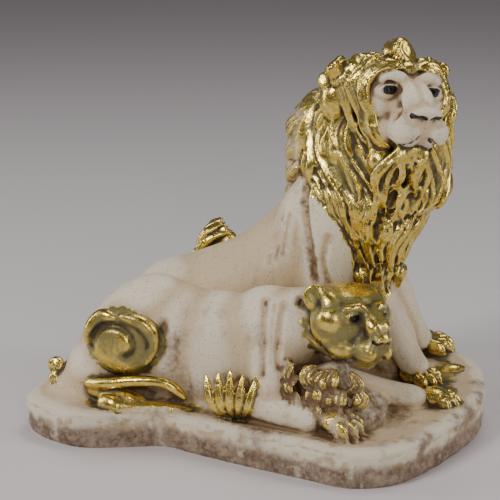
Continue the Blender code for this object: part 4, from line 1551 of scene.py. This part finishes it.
@dataclass(frozen=True)
class AntiqueGilding:
    """Ivory paint under a brown wash, with worn gold leaf on the hair, paws and her head; shade is painted
    into its hollows and grooves, highlights onto its crests.
    """

    ivory: Numbers = (0.68, 0.53, 0.33, 1)
    # pale cream: chalky streaks on the rock, and painted highlight on the crests of body and lip
    chalk_and_highlight: Numbers = (0.84, 0.75, 0.58, 1)
    wash: Numbers = (0.155, 0.082, 0.033, 1)
    # near-black painted shade for the deepest hollows of body and rock
    painted_hollow_shade: Numbers = (0.03, 0.022, 0.010, 1)
    leaf: Numbers = (0.76, 0.53, 0.085, 1)
    pale_leaf: Numbers = (1.0, 0.82, 0.28, 1)
    patina: Numbers = (0.135, 0.135, 0.062, 1)
    shadow: Numbers = (0.065, 0.046, 0.018, 1)
    stone: Numbers = (0.40, 0.30, 0.21, 1)
    earth: Numbers = (0.14, 0.085, 0.05, 1)
    ink: Numbers = (0.006, 0.005, 0.004, 1)

    def material(self) -> bpy.types.Material:
        """Makes the paint.

        Returns:
            The material.
        """
        g = Graph("antique_gilding")
        hollow, crest, rock = g.mark("hollow"), g.mark("crest"), g.mark("rock")
        ink = g.mark("ink").step(0.35, 0.65)
        broad, middle, fine = g.grain(22, 3), g.grain(70, 5), g.grain(330, 4, 0.6)
        specks, streaks = g.grain(900, 2, 0.5), g.grain(60, 4, 0.6, (1.6, 1.6, 0.35))
        height = Signal(g, g.node("ShaderNodeSeparateXYZ", {}, {0: g.coordinates}).outputs[2])
        ragged = (middle - 0.5) * 0.7 + (fine - 0.5) * 0.5
        gilded = (g.mark("gold") + ragged * 0.8 + (crest - 0.5) * 0.5).step(0.40, 0.62)
        # brown wash settled in creases and hollows, with painted shade laid into the same grooves
        groove_wash_and_shade = (hollow * 1.15 + (0.5 - crest) * 1.1 + ragged * 0.35).step(0.30, 0.78)

        stains = (streaks * 0.7 + broad * 0.4 + (fine - 0.5) * 0.3).step(0.55, 0.85) * 0.5
        low = 1 - (height + (broad - 0.5) * 0.06).step(0.03, 0.11)
        # the body's brown mixes real stains, specks and wash with painted shade in its grooves and hollows
        dirt = (groove_wash_and_shade * 0.95).most(stains).most((specks.step(0.63, 0.70)) * 0.7)
        washed = (g.mark("wash") + (streaks - 0.5) * 1.3 + (fine - 0.5) * 0.9).step(0.34, 1.15)
        # and the body is also painted darker in hollows towards the bottom
        dirt = dirt.most(washed).most(low * (hollow + ragged).step(0.15, 0.6) * 0.8)
        # painted highlight: the ivory turns paler on its crests
        body = g.blend(crest.step(0.45, 0.8), self.ivory, self.chalk_and_highlight)
        body = g.blend(dirt, body, self.wash)
        rim = (height + (middle - 0.5) * 0.014).step(0.011, 0.018)
        rim = rim * (1 - (hollow + ragged * 0.8).step(0.10, 0.36))
        stone = g.blend((fine * 0.6 + middle * 0.6).step(0.45, 0.75), self.stone, self.earth)
        # the cream lip, with painted highlight on its crests
        stone = g.blend(rim * 0.9, stone, g.blend(crest.step(0.42, 0.62), self.ivory, self.chalk_and_highlight))
        stone = g.blend((middle * 0.7 + broad * 0.5).step(0.62, 0.80) * 0.8, stone, self.wash)
        stone = g.blend((streaks + ragged).step(0.55, 0.80) * 0.6, stone, self.chalk_and_highlight)
        # painted shade: the rock goes near black in its hollows
        stone = g.blend((hollow * 1.2 + fine * 0.5).step(0.62, 1.0), stone, self.painted_hollow_shade)
        body = g.blend(rock.step(0.3, 0.8), body, stone)
        # painted shade: the body goes near black in its deepest hollows
        body = g.blend((hollow + ragged * 0.3).step(0.62, 0.95), body, self.painted_hollow_shade)

        mottled = broad * 0.5 + middle * 0.6 + (fine - 0.4) * 0.7
        tarnish = (mottled - (crest - 0.5) * 0.9 + g.mark("patina") * 0.42).step(0.58, 0.86)
        leaf = g.blend(fine.step(0.35, 0.7), self.leaf, self.pale_leaf)
        leaf = g.blend(tarnish * 0.8, leaf, self.patina)
        deep = (hollow * 1.2 + (0.5 - crest) * 1.3 + ragged * 0.8).step(0.13, 0.74)
        leaf = g.blend(deep.most(g.mark("wash") * (hollow * 2 + ragged).step(0.2, 0.7)), leaf, self.shadow)

        colour = g.blend(gilded, body, leaf)
        colour = g.blend(ink, colour, self.ink)
        bright = gilded * (1 - deep * 0.65) * (1 - tarnish * 0.5) * (1 - ink)
        g.feed(g.shader.inputs["Base Color"], colour)
        g.feed(g.shader.inputs["Metallic"], bright)
        g.feed(g.shader.inputs["Roughness"], 0.52 - bright * 0.30 + (fine - 0.5) * 0.2 - ink * 0.38)
        crumple = middle * 0.7 + fine * 0.35 + specks * 0.1
        relief = rock * fine * 1.2 + crumple * (0.30 + gilded * 0.9)
        bump = g.node("ShaderNodeBump", {}, {"Strength": 0.4, "Distance": 0.0016, "Height": relief})
        g.feed(g.shader.inputs["Normal"], bump.outputs[0])
        return g.material


@dataclass(frozen=True)
class Studio:
    """The pale floor, the soft lamps and the camera."""

    floor_size: float = 12.0
    azimuth: float = 18.0
    distance: float = 0.9
    eye_height: float = 0.40
    look: tuple[float, float, float] = (-0.001, -0.027, 0.130)
    span: float = 0.33
    sensor: float = 36.0

    def floor(self) -> None:
        """Lays the floor."""
        sheet = bmesh.new()
        bmesh.ops.create_grid(sheet, x_segments=1, y_segments=1, size=self.floor_size / 2)
        mesh = bpy.data.meshes.new("floor")
        sheet.to_mesh(mesh)
        sheet.free()
        floor = linked("floor", mesh)
        graph = Graph("pale_floor")
        graph.feed(graph.shader.inputs["Base Color"], (0.72, 0.68, 0.69, 1))
        graph.feed(graph.shader.inputs["Roughness"], 0.6)
        mesh.materials.append(graph.material)

    @staticmethod
    def lamp(name: str, place: Numbers, size: tuple[float, float], power: float, colour: Numbers) -> None:
        """Hangs a softbox that faces the statue.

        Args:
            name: Its name.
            place: Where it hangs.
            size: Its width and height.
            power: Its power in watts.
            colour: Its colour.
        """
        lamp = bpy.data.lights.new(name, "AREA")
        lamp.shape = "RECTANGLE"
        lamp.size, lamp.size_y = size
        lamp.energy = power
        lamp.color = colour
        holder = linked(name, lamp)
        holder.location = place
        away = Vector(place) - Vector((0, 0, 0.12))
        holder.rotation_euler = away.to_track_quat("Z", "Y").to_euler()

    def lamps(self) -> None:
        """Hangs all the softboxes and sets the room's light."""
        self.lamp("key", (-0.75, -1.15, 1.25), (0.5, 0.5), 14, (1.0, 0.97, 0.93))
        self.lamp("front", (0.75, -1.35, 0.75), (0.2, 0.9), 5, (1.0, 0.96, 0.92))
        self.lamp("left_strip", (-1.3, -0.2, 0.5), (0.25, 0.9), 4, (0.95, 0.97, 1.0))
        self.lamp("right_strip", (1.2, 0.15, 0.6), (0.3, 0.9), 5, (1.0, 0.97, 0.95))
        self.lamp("top", (0.1, 0.5, 1.5), (0.8, 0.5), 6, (1.0, 1.0, 1.0))
        world = bpy.data.worlds.new("room")
        world.use_nodes = True
        background = world.node_tree.nodes["Background"]
        background.inputs[0].default_value = (0.62, 0.58, 0.60, 1)
        background.inputs[1].default_value = 0.20
        bpy.context.scene.world = world

    def camera(self) -> None:
        """Sets the camera where the photo was taken from."""
        look = Vector(self.look)
        turn = math.radians(self.azimuth)
        ahead, aside = self.distance * math.cos(turn), self.distance * math.sin(turn)
        eye = Vector((look.x + aside, look.y - ahead, self.eye_height))
        lens = bpy.data.cameras.new("camera")
        lens.sensor_width = self.sensor
        lens.lens = self.sensor * (eye - look).length / self.span
        lens.clip_start = 0.01
        holder = linked("camera", lens)
        holder.location = eye
        holder.rotation_euler = (eye - look).to_track_quat("Z", "Y").to_euler()
        bpy.context.scene.camera = holder


def main() -> None:
    """Builds the studio and the statue."""
    logging.basicConfig(level=logging.INFO)
    studio = Studio()
    studio.camera()
    studio.floor()
    studio.lamps()
    Statue().build(AntiqueGilding())


if __name__ == "__main__":
    main()
